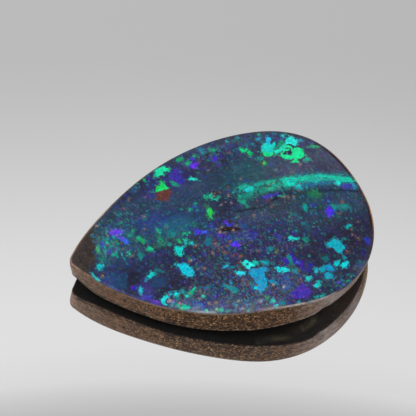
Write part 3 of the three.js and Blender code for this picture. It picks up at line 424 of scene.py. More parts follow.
# Small round spots: x and y, and the radius where it isn't the usual one. After them, that radius
# and how far round a spot it still wins over a flake.
SPOTS = """
45 242 195: 3.93,1.96 .07; 45 242 195: 4.08,2.01 .07; 150 130 110: 4,2.32 .05;
140 105 112: 3.75,2.05 .05; 130 165 140: 4.3,2.35 .05; 120 140 150: 4.55,1.97 .06;
48 60 100: 5.58,6.05 .07; 50 62 100: 5.5,5.9 .06; 45 85 115: 5.42,5.76 .045; 42 62 92: 5.93,4.6 .11;
45 78 98: 6.06,4.76 .055; 20 205 140: -2.44,.23 .06; 20 195 150: -2.17,.16 .055;
25 190 135: -2.32,.04 .05; 20 190 140: -2.66,-.19 .055; 25 195 160: -2.63,-.5 .055;
22 195 175: -2.44,-.66 .06; 22 185 175: -2.22,-.57 .055; 25 150 140: -3.6,-.24 .08;
30 170 120: -4,1.16 .07; 30 165 120: -3.97,.88 .06; 25 160 125: -4.04,.3 .07;
25 145 145: -3.32,1.2 .09; 22 135 150: -3.19,.42 .08; 30 150 120: -3.02,-.1 .07;
165 145 128: 1.41,-2.74 .05; 24 150 160: 2.19,-2.74 .08; 24 150 170: 1.97,-3.07 .06;
150 110 95: -.88,-1.28 .05; 140 100 90: -.69,-1.6 .05; 145 105 90: -.91,-1.81 .045;
130 95 85: -.56,-2.08 .05; 125 95 90: -.22,-1.67 .045; 135 100 90: -.85,-.92 .05;
150 85 58: -.09,-2.46 .06; 160 92 60: .21,-2.71 .06; 150 150 125: .26,2.42 .05;
140 95 65: .36,2.64 .05; 112 84 62: .7,2.64 .07; 165 132 105: 1.15,2.23 .06;
112 96 66: 1.34,2.78 .06; 35 85 190: 1.37,2.62 .07; 112 105 112: .8,1.73 .07;
124 110 120: 1.13,1.53 .07; 108 108 108: .45,1.57 .06; 145 122 100: 4.58,1.08 .04;
140 120 105: 4.84,1 .04; 145 118 95: 5.13,.96 .04; 60 160 140: 4.25,1.26 .05;
140 95 70: 4.2,4.14 .05; 75 60 230: .02,6.02 .1; 35 100 190: 3.52,-4.2 .1;
40 130 190: -4.64,-3.71 .09; 30 170 110: -5.47,1.51 .1; 40 150 110: -7.96,.46 .06;
20 160 135: -7.15,.1 .09; 26 170 130: -1.51,1.92 .08; 20 165 140: -1.01,2.28 .09;
40 90 170: -1.15,2.01 .1; 20 170 150: -2.52,-.29 .06; 20 205 155: -7.27,1.16 .07;
20 180 150: -7.13,.83 .07; 60 75 215: -7.6,1.02 .08; 30 195 135: -7.53,.6 .06;
60 60 185: -7.35,.4 .08; 20 180 140: .19,6.21 .08; 6 230 200: -6.24,-.16 .07;
30 225 215: -2.81,-4.56 .09; 90 220 195: -2.93,-5.6 .08; 60 200 170: -2.1,-5.88 .1;
60 165 150: -.54,-6.5 .1; 20 155 170: 6.74,-4.33 .1; 40 180 190: 6.33,6.2 .09;
50 160 140: 6.6,6.34 .09; 60 160 190: 7.36,5.54 .1; 40 170 170: 2.66,6.77 .08;
40 170 170: 3.47,6.83 .08; 30 150 140: 4.56,-.28; 30 150 140: 4.66,-.44; 30 140 135: 4.34,-.56;
30 140 135: 4.28,-.94; 30 150 140: 5,-.8; 30 140 150: 4.96,-1.24; 20 140 160: 4.34,-1.78;
40 60 60: .46,-3.44 .055; 150 185 215: -2.69,-1.83 .08; 130 95 80: -6.09,-.34 .05;
129 114 110: -6.49,.34; 163 106 55: -8.85,-.09; 150 110 70: -8.29,-1.14 .08;
129 79 46: .47,-5.08 .07; 146 101 55: 3.35,-4.82; 138 92 69: 8.15,-.12; 129 88 69: 7.63,-.93;
138 92 64: 7.06,-3.88; 138 79 55: -4.8,-3.72; 146 128 120: -.13,-.15 .08;
155 132 120: -.33,-.46 .08; 138 106 92: -.15,-.62; 129 106 92: -.4,-.29; 142 119 110: .5,-.62 .08;
142 123 110: .8,-.36; 146 132 129: 1.16,2.22; 129 114 120: .48,1.6; 129 114 120: 1.14,1.56;
138 106 92: 2.5,5.76; 129 114 120: 2.39,3.3 .08; 126 132 136: 4.91,3.42 .06; 118 110 110: 5.7,3 .05;
129 114 120: 6.59,3.46 .09; 129 97 92: 3.54,.58; 129 106 101: 5.14,.92; 129 106 110: 2.18,.08;
129 106 101: 5.7,1.34; 129 106 110: 8.62,-1.72; 129 97 92: 7.93,-2.26; 129 97 92: 7.9,-2.65;
129 106 101: 8.19,-2.98; 138 97 83: 7.08,-5.26; 146 123 120: 2.05,-5.75 .08;
138 106 101: 3.25,-5.49; 138 106 101: 1.42,-2.73; 146 114 101: -2.1,-2.7 .08;
130 104 98: -2.8,-1.85 .08; 129 106 101: -4.71,1.44; 146 132 129: -7.5,2.68 .09;
129 114 110: -7.34,1; 129 114 120: -4.41,2.42 .08; 120 106 120: -3.36,1.14; 129 97 83: -3.85,3.93;
129 97 83: -5.46,3.52; 129 106 101: -4.93,4.12; 138 106 110: .06,-1.39; 129 106 101: -2.09,-.91;
138 106 101: -1.26,-1.72; 129 106 110: .66,4.7; 163 114 83: 9.8,.27; 120 125 70: 2.5,-3.12;
110 120 70: 4.15,-2.95; 30 190 220: -4.66,-3.71 .09; 20 150 150: -4.37,-4.06 .09;
30 160 150: -3.9,-3.75 .1; 16 205 185: -3.75,-4.18 .09; 50 140 190: -4.08,-3.74 .08;
190 150 145: -4.84,-4.13 .09; 60 160 140: -4.82,-4.43 .08; 30 190 160: -4.43,-4.63 .09;
170 130 150: -4.32,-4.51 .07; 16 215 180: -4.12,-4.78 .1; 35 215 190: -3.95,-4.96 .1;
100 190 160: -4.34,-4.85 .08; 75 55 175: -2.93,-5.13 .09; 60 100 190: -3.08,-5.28 .09;
75 50 165: -2.13,-4.87 .09; 60 110 170: -2.17,-4.77; 155 141 129: -2.63,-5.15;
130 110 100: -2.24,-5.3 .11; 129 114 101: -2.86,-4.14 .07; 120 110 100: -3.06,-4.66 .08;
120 90 85: -3.34,-3.68 .08; 130 200 150: -2.33,-5.71 .1; 30 150 110: .8,-6.12 .08;
130 140 160: .34,-6.25 .1; 130 160 150: -.9,-5.72 .09; 90 140 150: -1.11,-5.92 .11;
40 130 180: -1.22,-5.77 .09; 150 150 170: -.83,-6.28 .08; 70 180 160: -.59,-6.57 .1;
70 110 190: .12,-6.67 .09; 90 140 190: -.53,-6.17 .08; 40 150 180: 2.61,-6.98 .09;
150 170 170: 2.03,-5.73 .08; 160 160 120: 1.46,-5.42 .08; 14 220 225: .33,-5.24 .09;
20 170 200: -.94,-4.34 .08; 30 140 160: -1.37,-4.35 .1; 40 100 180: 2.26,-5.86 .13
"""
SPOT_RADIUS = 0.055
SPOT_RIM = 0.02

# How much of the fine mosaic shows teal, violet and tan cells, and how streaky it is:
# x, y, reach along x and y in mm, then the four shares.
MOSAIC_BASE = (0.06, 0.07, 0.05, 0.0)
MOSAIC_PATCHES = (
    (6.4, 3.9, 3.2, 1.2, 0.02, 0.03, 0.06, 0.0),
    (2.7, 3.9, 1.8, 1.0, 0.05, 0.03, 0.04, 0.0),
    (-0.6, 3.6, 1.6, 0.7, 0.05, 0.05, 0.04, 0.1),
    (-3.4, 3.1, 2.6, 0.8, 0.12, 0.08, 0.08, 0.1),
    (-6.0, 2.8, 1.3, 1.0, 0.3, 0.1, 0.2, 0.6),
    (-6.9, 1.0, 1.5, 1.4, 0.56, 0.2, 0.22, 0.9),
    (-3.6, 0.4, 1.8, 0.9, 0.5, 0.14, 0.1, 0.1),
    (-3.9, 1.8, 1.3, 0.6, 0.12, 0.25, 0.04, 0.0),
    (-1.3, 0.6, 1.2, 1.4, 0.25, 0.25, 0.06, 0.0),
    (0.4, -1.4, 1.6, 1.2, 0.26, 0.36, 0.45, 0.0),
    (-5.2, -1.9, 2.0, 1.0, 0.05, 0.08, 0.03, 0.0),
    (-8.0, -1.5, 0.9, 0.8, 0.2, 0.35, 0.05, 0.1),
    (-1.8, -2.9, 1.6, 1.4, 0.16, 0.2, 0.4, 0.0),
    (-3.6, -4.5, 1.4, 0.55, 0.4, 0.35, 0.8, 0.0),
    (-1.4, -5.6, 1.3, 0.7, 0.36, 0.32, 0.9, 0.0),
    (0.8, -6.1, 1.8, 0.8, 0.26, 0.28, 0.9, 0.0),
    (-0.6, -4.4, 1.6, 1.0, 0.26, 0.26, 0.6, 0.0),
    (2.4, -5.2, 1.5, 1.2, 0.28, 0.42, 0.5, 0.0),
    (5.6, -5.9, 1.6, 0.6, 0.35, 0.3, 0.3, 0.0),
    (7.6, -3.2, 1.6, 1.3, 0.06, 0.1, 0.14, 0.1),
    (5.4, -1.0, 2.2, 1.5, 0.12, 0.13, 0.14, 0.5),
    (2.8, -2.6, 1.6, 1.2, 0.2, 0.2, 0.3, 0.0),
    (8.4, -0.6, 1.2, 1.5, 0.08, 0.07, 0.12, 0.4),
    (3.0, 0.2, 2.0, 1.0, 0.12, 0.1, 0.2, 0.3),
    (5.6, 1.9, 4.0, 0.9, 0.1, 0.07, 0.06, 0.95),
    (0.2, 5.9, 2.4, 0.8, 0.3, 0.25, 0.1, 0.5),
    (4.6, 6.2, 2.6, 0.7, 0.35, 0.25, 0.14, 0.4),
    (7.8, 5.0, 1.2, 0.9, 0.2, 0.12, 0.1, 0.0),
    (-3.0, 5.0, 0.9, 0.8, 0.2, 0.3, 0.15, 0.2),
)

# Ironstone along the wall as seen: x, y of the middle of each stretch, its reach in mm, how
# speckled it is, and its colour. The pale, smooth stretches at the tip and round the round end
# are painted sheen, the gloss of the wall reflecting the bright surroundings.
WALL_SPECKLE = 0.9
WALL_COLOUR = (92, 71, 57)
WALL_TONES_AND_SHEEN = (
    # Painted sheen: the pale, smooth stretch at the tip.
    (-9.9, 0.4, 1.6, 0.2, 136, 114, 102),
    (-8.8, -1.4, 1.5, 0.35, 106, 86, 74),
    (-7.2, -2.9, 1.6, 0.6, 102, 79, 66),
    (-4.0, -5.2, 2.0, 1.0, 84, 62, 48),
    (-1.0, -6.6, 1.8, 1.0, 70, 50, 40),
    (1.4, -7.1, 1.6, 0.95, 78, 58, 46),
    (3.2, -7.2, 0.9, 0.5, 108, 90, 80),
    # Painted sheen: the pale, smooth stretches round the round end.
    (5.2, -6.7, 1.5, 0.12, 138, 126, 121),
    (7.4, -5.4, 1.5, 0.08, 126, 114, 110),
    (9.8, -1.0, 2.4, 0.4, 92, 72, 60),
)

# The line across the tip where the opal ends and bare ironstone shows, in mm, how softly it
# passes over, and the tone and speckle of the bare tip.
TIP_LINE = (
    (-7.85, 2.6), (-8.08, 2.0), (-8.22, 1.33), (-8.28, 0.97), (-8.42, 0.46), (-8.72, -0.26),
    (-9.2, -0.6),
)
TIP_BLEND = (-1.4, 1.2)
TIP_COLOUR, TIP_SPECKLE = (60, 54, 53), 0.04

# How bare the ironstone is on the wall and on the back, against 0.5 where it starts to show.
BARE_WALL, BARE_BACK = 1.6, 3.0

# Painted shade darkening the foot of the front wall: its top, its depth and where it sets in.
FOOT_LEVEL, FOOT_SHADE, FOOT_SPAN = 0.12, 0.6, (-1.5, 1.0)

# The back, its dark ironstone painted near black as painted shade under the stone, lighter by
# some times towards the round end, and a pale seam across it, in mm.
BACK_COLOUR_AND_SHADE = (13, 10, 8)
BACK_SHADE_LIFT, BACK_SHADE_LIFT_AT, BACK_SHADE_LIFT_REACH = 3.0, 6.5, 3.5
BACK_SEAM = (
    (0.2, -6.7), (1.0, -6.8), (1.8, -6.8), (2.76, -6.72), (3.2, -6.66), (3.44, -6.51),
    (3.76, -6.38), (4.1, -6.29), (5.0, -5.8),
)
SEAM_COLOUR, SEAM_WIDTH = (66, 62, 48), 0.09

# Painted highlights, glints on the edge where the wall turns under: colour, level and half width
# of the line, strength everywhere and at their brightest place, that place and its reach in mm,
# the steady and the broken share of them, how fast they break, and where the front side sets in.
GIRDLE_GLINT_COLOUR = (150, 140, 138)
GLINT_LEVEL, GLINT_BAND = 0.04, 0.01
GLINT, GLINT_PEAK, GLINT_AT, GLINT_REACH = 0.25, 0.5, 2.2, 3.0
GLINT_STEADY, GLINT_BROKEN, GLINT_TURNS, GLINT_FRONT = 0.6, 0.4, (9, 23), (-1, 1)

# Bands round the rim, partly its own tones of milky opal and brown ironstone and partly painted
# highlights, the pale and golden lines where its rounded edge catches the light: x, y of the middle
# of each and its reach, where it starts and stops down from the edge of the face, all in mm, how
# strong it is, and its colour. After them, how soft their sides are.
RIM_COLOUR = (96, 78, 66)
RIM_TONES_AND_HIGHLIGHTS = (
    (-9.2, -0.7, 0.7, 0.03, 0.22, 0.6, 100, 82, 70),
    (-8.0, -2.2, 0.9, -0.05, 0.08, 0.8, 84, 96, 180),
    (-7.0, -3.2, 0.7, -0.03, 0.1, 0.6, 80, 84, 150),
    (-5.7, -4.15, 0.55, -0.06, 0.1, 0.9, 88, 60, 190),
    (-3.2, -5.6, 0.9, -0.06, 0.2, 0.95, 150, 168, 178),
    (-0.6, -6.7, 1.0, -0.1, 0.14, 0.6, 118, 104, 112),
    (0.5, -7.0, 0.9, -0.12, 0.12, 0.85, 132, 122, 126),
    # Painted highlights: pale beads along the rounded edge of the front.
    (2.4, -7.2, 1.5, -0.03, 0.13, 1.0, 178, 168, 160),
    (4.3, -7.1, 1.2, -0.03, 0.13, 0.95, 172, 162, 158),
    (2.8, -7.2, 2.0, 0.2, 0.24, 0.6, 60, 46, 38),
    (6.8, -5.8, 1.4, 0.06, 0.3, 0.8, 160, 146, 140),
    # Painted highlights: golden lines along the rounded front edge.
    (-8.8, -1.4, 2.0, 0.11, 0.25, 0.5, 160, 130, 108),
    (-6.0, -4.0, 3.0, 0.1, 0.26, 0.7, 168, 146, 130),
    (-1.9, -6.2, 2.2, 0.1, 0.26, 0.7, 168, 148, 132),
    (6.9, -5.7, 1.2, 1.3, 2.6, 0.7, 72, 52, 42),
    (8.3, -4.1, 1.5, 1.15, 2.6, 0.8, 66, 48, 38),
    (8.5, -3.9, 1.3, 0.1, 0.6, 0.85, 206, 180, 140),
    (8.9, -3.2, 1.2, 0.6, 1.1, 0.6, 160, 124, 88),
    (9.6, -1.6, 2.6, -0.18, 0.02, 0.95, 26, 24, 30),
    (9.0, 3.2, 3.0, -0.18, 0.02, 1.0, 22, 20, 26),
    (6.2, 6.2, 2.0, -0.13, 0.02, 0.8, 34, 38, 46),
    (-7.0, 3.2, 4.0, -0.1, 0.0, 0.5, 56, 54, 58),
    (9.8, -1.0, 2.0, 0.02, 0.3, 0.95, 205, 142, 76),
    (9.4, 2.6, 2.0, 0.02, 0.3, 0.95, 196, 132, 72),
    (7.6, 5.2, 1.6, 0.02, 0.3, 0.85, 130, 96, 74),
    (3.0, 7.2, 3.6, 0.0, 0.3, 0.7, 104, 104, 96),
    (-3.0, 5.6, 2.4, 0.0, 0.3, 0.8, 112, 100, 86),
    # Painted highlight: a pale line along the polished back edge near the tip.
    (-7.0, 3.2, 2.0, 0.0, 0.3, 0.95, 196, 176, 150),
    (-9.6, 1.0, 0.8, 0.0, 0.3, 0.7, 140, 112, 92),
)
RIM_BLUR = 0.03

# Fixed tones of the finish, as light: dark of the opal, specks of ironstone in it, its pores.
WHITE = (1.0, 1.0, 1.0, 1.0)
FACE_DARK = (0.023, 0.024, 0.044, 1.0)
SPECK_TAN = (0.3, 0.2, 0.15, 1.0)
SPECK_ROSE = (0.27, 0.16, 0.15, 1.0)
SPECK_RUST = (0.26, 0.13, 0.07, 1.0)
IRON_DARK = (0.025, 0.016, 0.011, 1.0)

# Fine parts of the finish, coarse to fine, each with its cells to a millimetre. Fragments of the
# mosaic: blur, strength. Sparks: their turn before the cells, strength after. Specks of ironstone
# in the opal: radius, tone, strength. Grains of the ironstone: how dark its pores are, how bright
# the golden ones.
FRAGMENTS = ((3.6, 0.35, 0.35), (7.0, 0.08, 0.7), (11.0, 0.0, 0.9))
SPARKS = ((-0.15, 6.0, 0.8), (0.1, 9.0, 1.3))
SPECKS = ((3.1, 0.17, SPECK_TAN, 0.46), (5.6, 0.28, SPECK_ROSE, 0.48), (9.0, 0.5, SPECK_TAN, 0.5))
GRAINS = ((3.6, 0.3, 0.3), (6.0, 0.7, 0.5), (10.0, 0.8, 1.1))

# How far noise shakes the cells about, in mm, how softly a fragment and a smaller cell start to
# show, and how much noise tints each channel: as fine pepper over the stone, as coarser grit and
# as mottling in the opal.
SHAKE = 0.22
FRAGMENT_EDGE, CELL_EDGE = (-0.07, 0.05), (-0.02, 0.02)
PEPPER_TINT, GRIT_TINT, MOTTLE_TINT = (1.5, 1.1, 1.1), (2.6, 1.1, 1.1), (2.0, 0.3, 0.3)

# The polish: roughness and clear coat on opal and on bare ironstone, depth of the bump in metres.
OPAL_ROUGH, IRON_ROUGH = 0.1, 0.5
OPAL_COAT, IRON_COAT, COAT_ROUGH, COAT_INDEX = 0.2, 0.12, 0.05, 1.5
GEM_INDEX, GEM_SPECULAR = 1.45, 0.06
BUMP_SHARE, BUMP_DEPTH = 0.5, 0.00002

# Camera, measured from the outline and from the mirror image of the stone, in mm and degrees.
CAMERA_AT = (-32.34, -75.46, 115.59)
CAMERA_AIM = (0.386, 3.561, 0.0)
CAMERA_ROLL = 4.6
CAMERA_LENS = 190.4
CAMERA_SENSOR = 36.0
CAMERA_NEAR, CAMERA_FAR = 0.005, 20

# The surface: its side and how far it lies under the stone in metres, its mirror and matt
# colours, and how much of it is matt.
FLOOR_SIDE, FLOOR_GAP = 3.0, 1e-5
MIRROR_COLOUR = (0.985, 0.985, 0.985, 1.0)
MATT_COLOUR = (0.85, 0.86, 0.88, 1.0)
FLOOR_MATT = 0.012

# The overhead panel: its side and place in metres, its power in watts.
PANEL_SIDE, PANEL_POWER = 0.5, 1.5
PANEL_AT = (0.0, -0.05, 0.5)

# Brightness of the surroundings by the sine of the height above the horizon: dim low down, a
# bright band, a darker one and bright overhead. Then how it slants and fades towards the camera's
# right.
SKY_STOPS = (
    (0.0, 0.44), (0.55, 0.46), (0.755, 0.49), (0.838, 0.74), (0.846, 0.71), (0.856, 0.5),
    (0.9, 0.55), (1.0, 0.8),
)
SKY_SLANT = 0.03
SKY_FADE = -0.2
SKY_RIGHT = (0.924, -0.383, 0.0)


def linear(colour):
    """Screen colours from 0 to 255 as linear light: the sRGB curve, a straight foot and a power."""
    share = np.asarray(colour, dtype=float) / 255
    return np.where(share <= 0.04045, share / 12.92, ((share + 0.055) / 1.055) ** 2.4)


def as_paint(colour, light=FACE_LIGHT, gloss=FACE_GLOSS):
    """The base colour that shows as a screen colour: its light less the gloss, over the lamps."""
    return np.clip((linear(colour) - gloss) / light, *PAINT_RANGE)


def wall_paint(colour, gloss=WALL_GLOSS):
    """The same for the wall and the back, which the lamps reach less."""
    return as_paint(colour, WALL_LIGHT, gloss)


def bell(distance, reach):
    """A smooth bump: e to the minus square of distance over reach."""
    return np.exp(-((distance / reach) ** 2))


def eased(value, low, high):
    """Runs from 0 at low to 1 at high as 3t squared less 2t cubed."""
    t = np.clip((value - low) / (high - low), 0, 1)
    return t * t * (3 - 2 * t)


def soft_patch(at, x, y, rx, ry, fade=1.0, power=1.0):
    """An oval bump: e to the minus fade times a power of the squared distance in reaches."""
    away = ((at[:, 0] - x) / rx) ** 2 + ((at[:, 1] - y) / ry) ** 2
    return np.exp(-(away**power) * fade)[:, None]


def round_patch(at, x, y, reach):
    """A round bump: a bell of the distance from its middle."""
    return bell(np.hypot(at[:, 0] - x, at[:, 1] - y), reach)[:, None]


def bezier(points, steps):
    """Points on a Bezier curve: the control points times their Bernstein weights, t from 0 to 1."""
    t = np.linspace(0, 1, steps, endpoint=False)[:, None]
    p = [np.asarray(point, dtype=float) for point in points]
    if len(p) == 3:
        return (1 - t) ** 2 * p[0] + 2 * t * (1 - t) * p[1] + t**2 * p[2]
    weights = ((1 - t) ** 3, 3 * t * (1 - t) ** 2, 3 * t**2 * (1 - t), t**3)
    return sum(weight * point for weight, point in zip(weights, p))


class Pear:
    """The edge of the face seen from above, in mm, and the heights that hang on it."""

    def __init__(self, sizes):
        self.length = sizes.length / MM
        self.width = sizes.width / MM
        self.edge_height = sizes.edge_height / MM
        self.dome = sizes.dome / MM
        self.girdle_height = sizes.girdle_height / MM
        self.trace()

    def trace(self):
        """Four cubics, from the tip by way of the shoulders and the round end, and a blunt tip."""
        length, width = self.length, self.width
        back_turn, front_turn = np.radians([BACK_FLANK_ANGLE, -FRONT_FLANK_ANGLE])
        cut_off = TIP_BLUNT / 4 * (np.cos(back_turn) + np.cos(front_turn))
        corner = np.array([-length / 2 - cut_off, TIP_ASIDE])

        def off_tip(turn, distance):
            return corner + distance * np.array([np.cos(turn), np.sin(turn)])

        def beside(shoulder, run):
            return shoulder[0] + run * length, shoulder[1]

        start, front_run = (off_tip(front_turn, far) for far in (TIP_BLUNT, FRONT_TIP_RUN * length))
        finish, back_run = (off_tip(back_turn, far) for far in (TIP_BLUNT, BACK_TIP_RUN * length))
        front = (SHOULDERS_AT, -width / 2)
        end = (length / 2, 0)
        back = (SHOULDERS_AT, width / 2)
        curves = (
            (start, front_run, beside(front, -SHOULDER_RUN), front),
            (front, beside(front, FRONT_PAST_RUN), (end[0], -FRONT_END_RUN * width), end),
            (end, (end[0], BACK_END_RUN * width), beside(back, BACK_PAST_RUN), back),
            (back, beside(back, -SHOULDER_RUN), back_run, finish),
            (finish, corner, start),
        )
        path = np.vstack([bezier(points, CURVE_POINTS) for points in curves])
        step = np.roll(path, -1, 0) - path
        self.far = np.concatenate([[0], np.cumsum(np.hypot(*step.T))])
        self.path = np.vstack([path, path[:1]])
        tangent = np.roll(path, -1, 0) - np.roll(path, 1, 0)
        tangent /= np.hypot(*tangent.T)[:, None]
        normal = np.c_[tangent[:, 1], -tangent[:, 0]]
        self.normals = np.vstack([normal, normal[:1]])
        self.end_share = self.far[np.argmax(path[:, 0])] / self.far[-1]

    def at(self, share):
        """Points and outward normals of the outline at shares of the way round from the tip."""
        far = np.mod(share, 1) * self.far[-1]
        point = np.stack([np.interp(far, self.far, self.path[:, i]) for i in (0, 1)], -1)
        normal = np.stack([np.interp(far, self.far, self.normals[:, i]) for i in (0, 1)], -1)
        return point, normal / np.linalg.norm(normal, axis=-1, keepdims=True)

    def face_level(self, at):
        """Height of the face's edge: a swell along the front and a rise at the tip, less a fall at
        the round end, each by a bell, plus slow waves."""
        x, y = at[..., 0], at[..., 1]
        swell = SWELL * bell(x - SWELL_AT, SWELL_REACH) * bell(y + self.width / 2, SWELL_INWARD)
        fall = END_FALL * bell(x - self.length / 2, END_FALL_REACH)
        ends = TIP_RISE * bell(x + self.length / 2, TIP_RISE_REACH) - fall
        waves = sum(
            high * np.sin(along * x + aside * y + phase) for high, along, aside, phase in FACE_WAVES
        )
        return self.edge_height + swell + ends + waves

    def girdle(self, x):
        """Height at which the wall turns under: a step past the middle, a crest on it and a rise
        at the tip."""
        crest = GIRDLE_CREST * bell(x - GIRDLE_CREST_AT, GIRDLE_CREST_REACH)
        step = GIRDLE_RISE * eased(x, *GIRDLE_STEP) + crest
        tip = GIRDLE_TIP_RISE * bell(x + self.length / 2, GIRDLE_TIP_REACH)
        return self.girdle_height + step + tip

    def wall_offset(self, at, share):
        """How far the wall stands out: a lean that grows downwards, plus a bulge with waves on it,
        less a bell for each chip."""
        x, y = at[..., 0], at[..., 1]
        at_tip = TIP_UNDERCUT * eased(-x, *TIP_UNDERCUT_SPAN)
        undercut = END_UNDERCUT * eased(x, *END_UNDERCUT_SPAN) + at_tip
        lean = (WALL_SPREAD * bell(x - WALL_SPREAD_AT, WALL_SPREAD_REACH) - undercut) * (1 - share)
        wave = 1.0
        for along, aside, upward in WALL_WAVES:
            wave = wave * np.sin(along * x + aside * y + upward * share)
        chips = sum(
            depth * bell(np.hypot(x - px, y - py) / reach, PIT_SOFT) * bell(share - high, PIT_HIGH)
            for px, py, high, reach, depth in PITS
        )
        return lean + (WALL_BULGE + WALL_WAVE * wave) * np.sin(np.pi * share) - chips


def hollow_at(at):
    """Rise of the back's hollows: depth times a squared cosine that ends at the reach of each."""
    rise = 0
    for x, y, reach, depth in HOLLOWS:
        away = np.minimum(np.hypot(at[..., 0] - x, at[..., 1] - y) / reach, 1)
        rise = rise + depth * np.cos(np.pi / 2 * away) ** 2
    return rise


def drawn_in(point, normal, offset, share):
    """An outline point moved out along its normal, then drawn towards the middle."""
    out = point + normal * np.asarray(offset)[..., None]
    return MIDDLE + (out - MIDDLE) * np.asarray(share)[..., None]


def grain(at):
    """Even random lumps on the wall: waves of random turn and phase, summed and kept to -1 to 1."""
    draw = np.random.default_rng(GRAIN_SEED)
    turns = draw.uniform(0, 2 * np.pi, (GRAIN_WAVES, 2))
    pitches = draw.uniform(*GRAIN_PITCH, GRAIN_WAVES)
    x, y, z = at.T
    total = 0
    for (heading, phase), pitch in zip(turns, pitches):
        along = np.cos(heading) * (x + y) + np.sin(heading) * z * GRAIN_UPWARD
        across = np.sin(heading * 3) * (x - y)
        total = total + np.sin(pitch * (along + across) + phase)
    return np.clip(total / np.sqrt(GRAIN_WAVES), -1, 1)


def face_grid(squares):
    """A square grid drawn out to a disc: the larger side is the radius and the other the angle."""
    side = np.linspace(-1, 1, squares + 1)
    a, b = np.meshgrid(side, side, indexing="ij")
    radius = np.maximum(np.abs(a), np.abs(b))
    wide = np.abs(a) >= np.abs(b)
    safe_a, safe_b = np.where(a == 0, 1, a), np.where(b == 0, 1, b)
    turn = np.where(
        wide,
        np.where(a >= 0, 0, 4) + b / safe_a,
        np.where(b >= 0, 2, 6) - a / safe_b,
    )
    return radius, turn / 8


def grid_border(squares):
    """Numbers of the grid's border points, anticlockwise from the middle of its first side."""
    n = squares
    index = np.arange((n + 1) ** 2).reshape(n + 1, n + 1)
    sides = (index[n, :], index[n - 1 :: -1, n], index[0, n - 1 :: -1], index[1:n, 0])
    return np.roll(np.concatenate(sides), -(n // 2))


def grid_triangles(squares):
    """Each square cut in two along the line that points away from the middle of the grid."""
    n = squares
    index = np.arange((n + 1) ** 2).reshape(n + 1, n + 1)
    p, q, r, s = index[:-1, :-1], index[1:, :-1], index[1:, 1:], index[:-1, 1:]
    i, j = np.meshgrid(np.arange(n), np.arange(n), indexing="ij")
    outward = ((i < n / 2) == (j < n / 2))[..., None, None]
    one = np.stack([np.stack([p, q, r], -1), np.stack([p, r, s], -1)], -2)
    two = np.stack([np.stack([p, q, s], -1), np.stack([q, r, s], -1)], -2)
    return np.where(outward, one, two).reshape(-1, 3)


def stone_rows(pear, around):
    """Rows from the edge of the face out over it, down the wall and in under the back, in mm.

    The edge is a quarter circle. The wall runs straight down from it, moved out by its offset less
    its grain. The back falls from the girdle by a power of the way in, with lumps and hollows, and
    its middle is flat but for the hollows. Returns the rows' points and the level of each row.
    """
    point, normal = pear.at(pear.end_share + np.arange(around) / around)
    edge = pear.face_level(drawn_in(point, normal, -EDGE_ROUND, 1.0))
    low = pear.girdle(point[:, 0])
    rows, levels = [], []
    for turn in np.radians(np.linspace(90, 0, EDGE_ROWS + 1)[1:]):
        at = drawn_in(point, normal, -EDGE_ROUND * (1 - np.cos(turn)), 1.0)
        rows.append(np.c_[at, edge - EDGE_ROUND * (1 - np.sin(turn))])
        levels.append(1 + EDGE_LEVELS * np.sin(turn))
    for share in np.linspace(1, 0, WALL_ROWS + 1)[1:]:
        at = drawn_in(point, normal, pear.wall_offset(point, share), 1.0)
        at = np.c_[at, low + (edge - EDGE_ROUND - low) * share]
        rough = GRAIN_DEPTH * (grain(at) - 1) * np.sin(np.pi * share) ** 0.5
        at[:, :2] += normal * rough[:, None]
        rows.append(at)
        levels.append(share)
    foot = pear.wall_offset(point, 0)
    (along, along_phase), (aside, aside_phase) = LUMP_WAVES
    for step in BACK_STEPS:
        offset = foot - GIRDLE_BREAK * min(1, step / GIRDLE_BREAK_STEP)
        at = drawn_in(point, normal, offset, 1 - step * (1 - FLAT_SHARE))
        x, y = at.T
        lump = BACK_LUMPS * np.sin(along * x + along_phase) * np.sin(aside * y + aside_phase)
        fall = (low - GIRDLE_BREAK) * (1 - step) ** BACK_CURVE
        rows.append(np.c_[at, fall + lump * np.sin(np.pi * step) + hollow_at(at)])
        levels.append(-step)
    for share in FLAT_STEPS:
        at = drawn_in(point, normal, foot - GIRDLE_BREAK, FLAT_SHARE * share)
        rows.append(np.c_[at, hollow_at(at)])
        levels.append(-1 - (1 - share))
    return np.array(rows), np.array(levels)


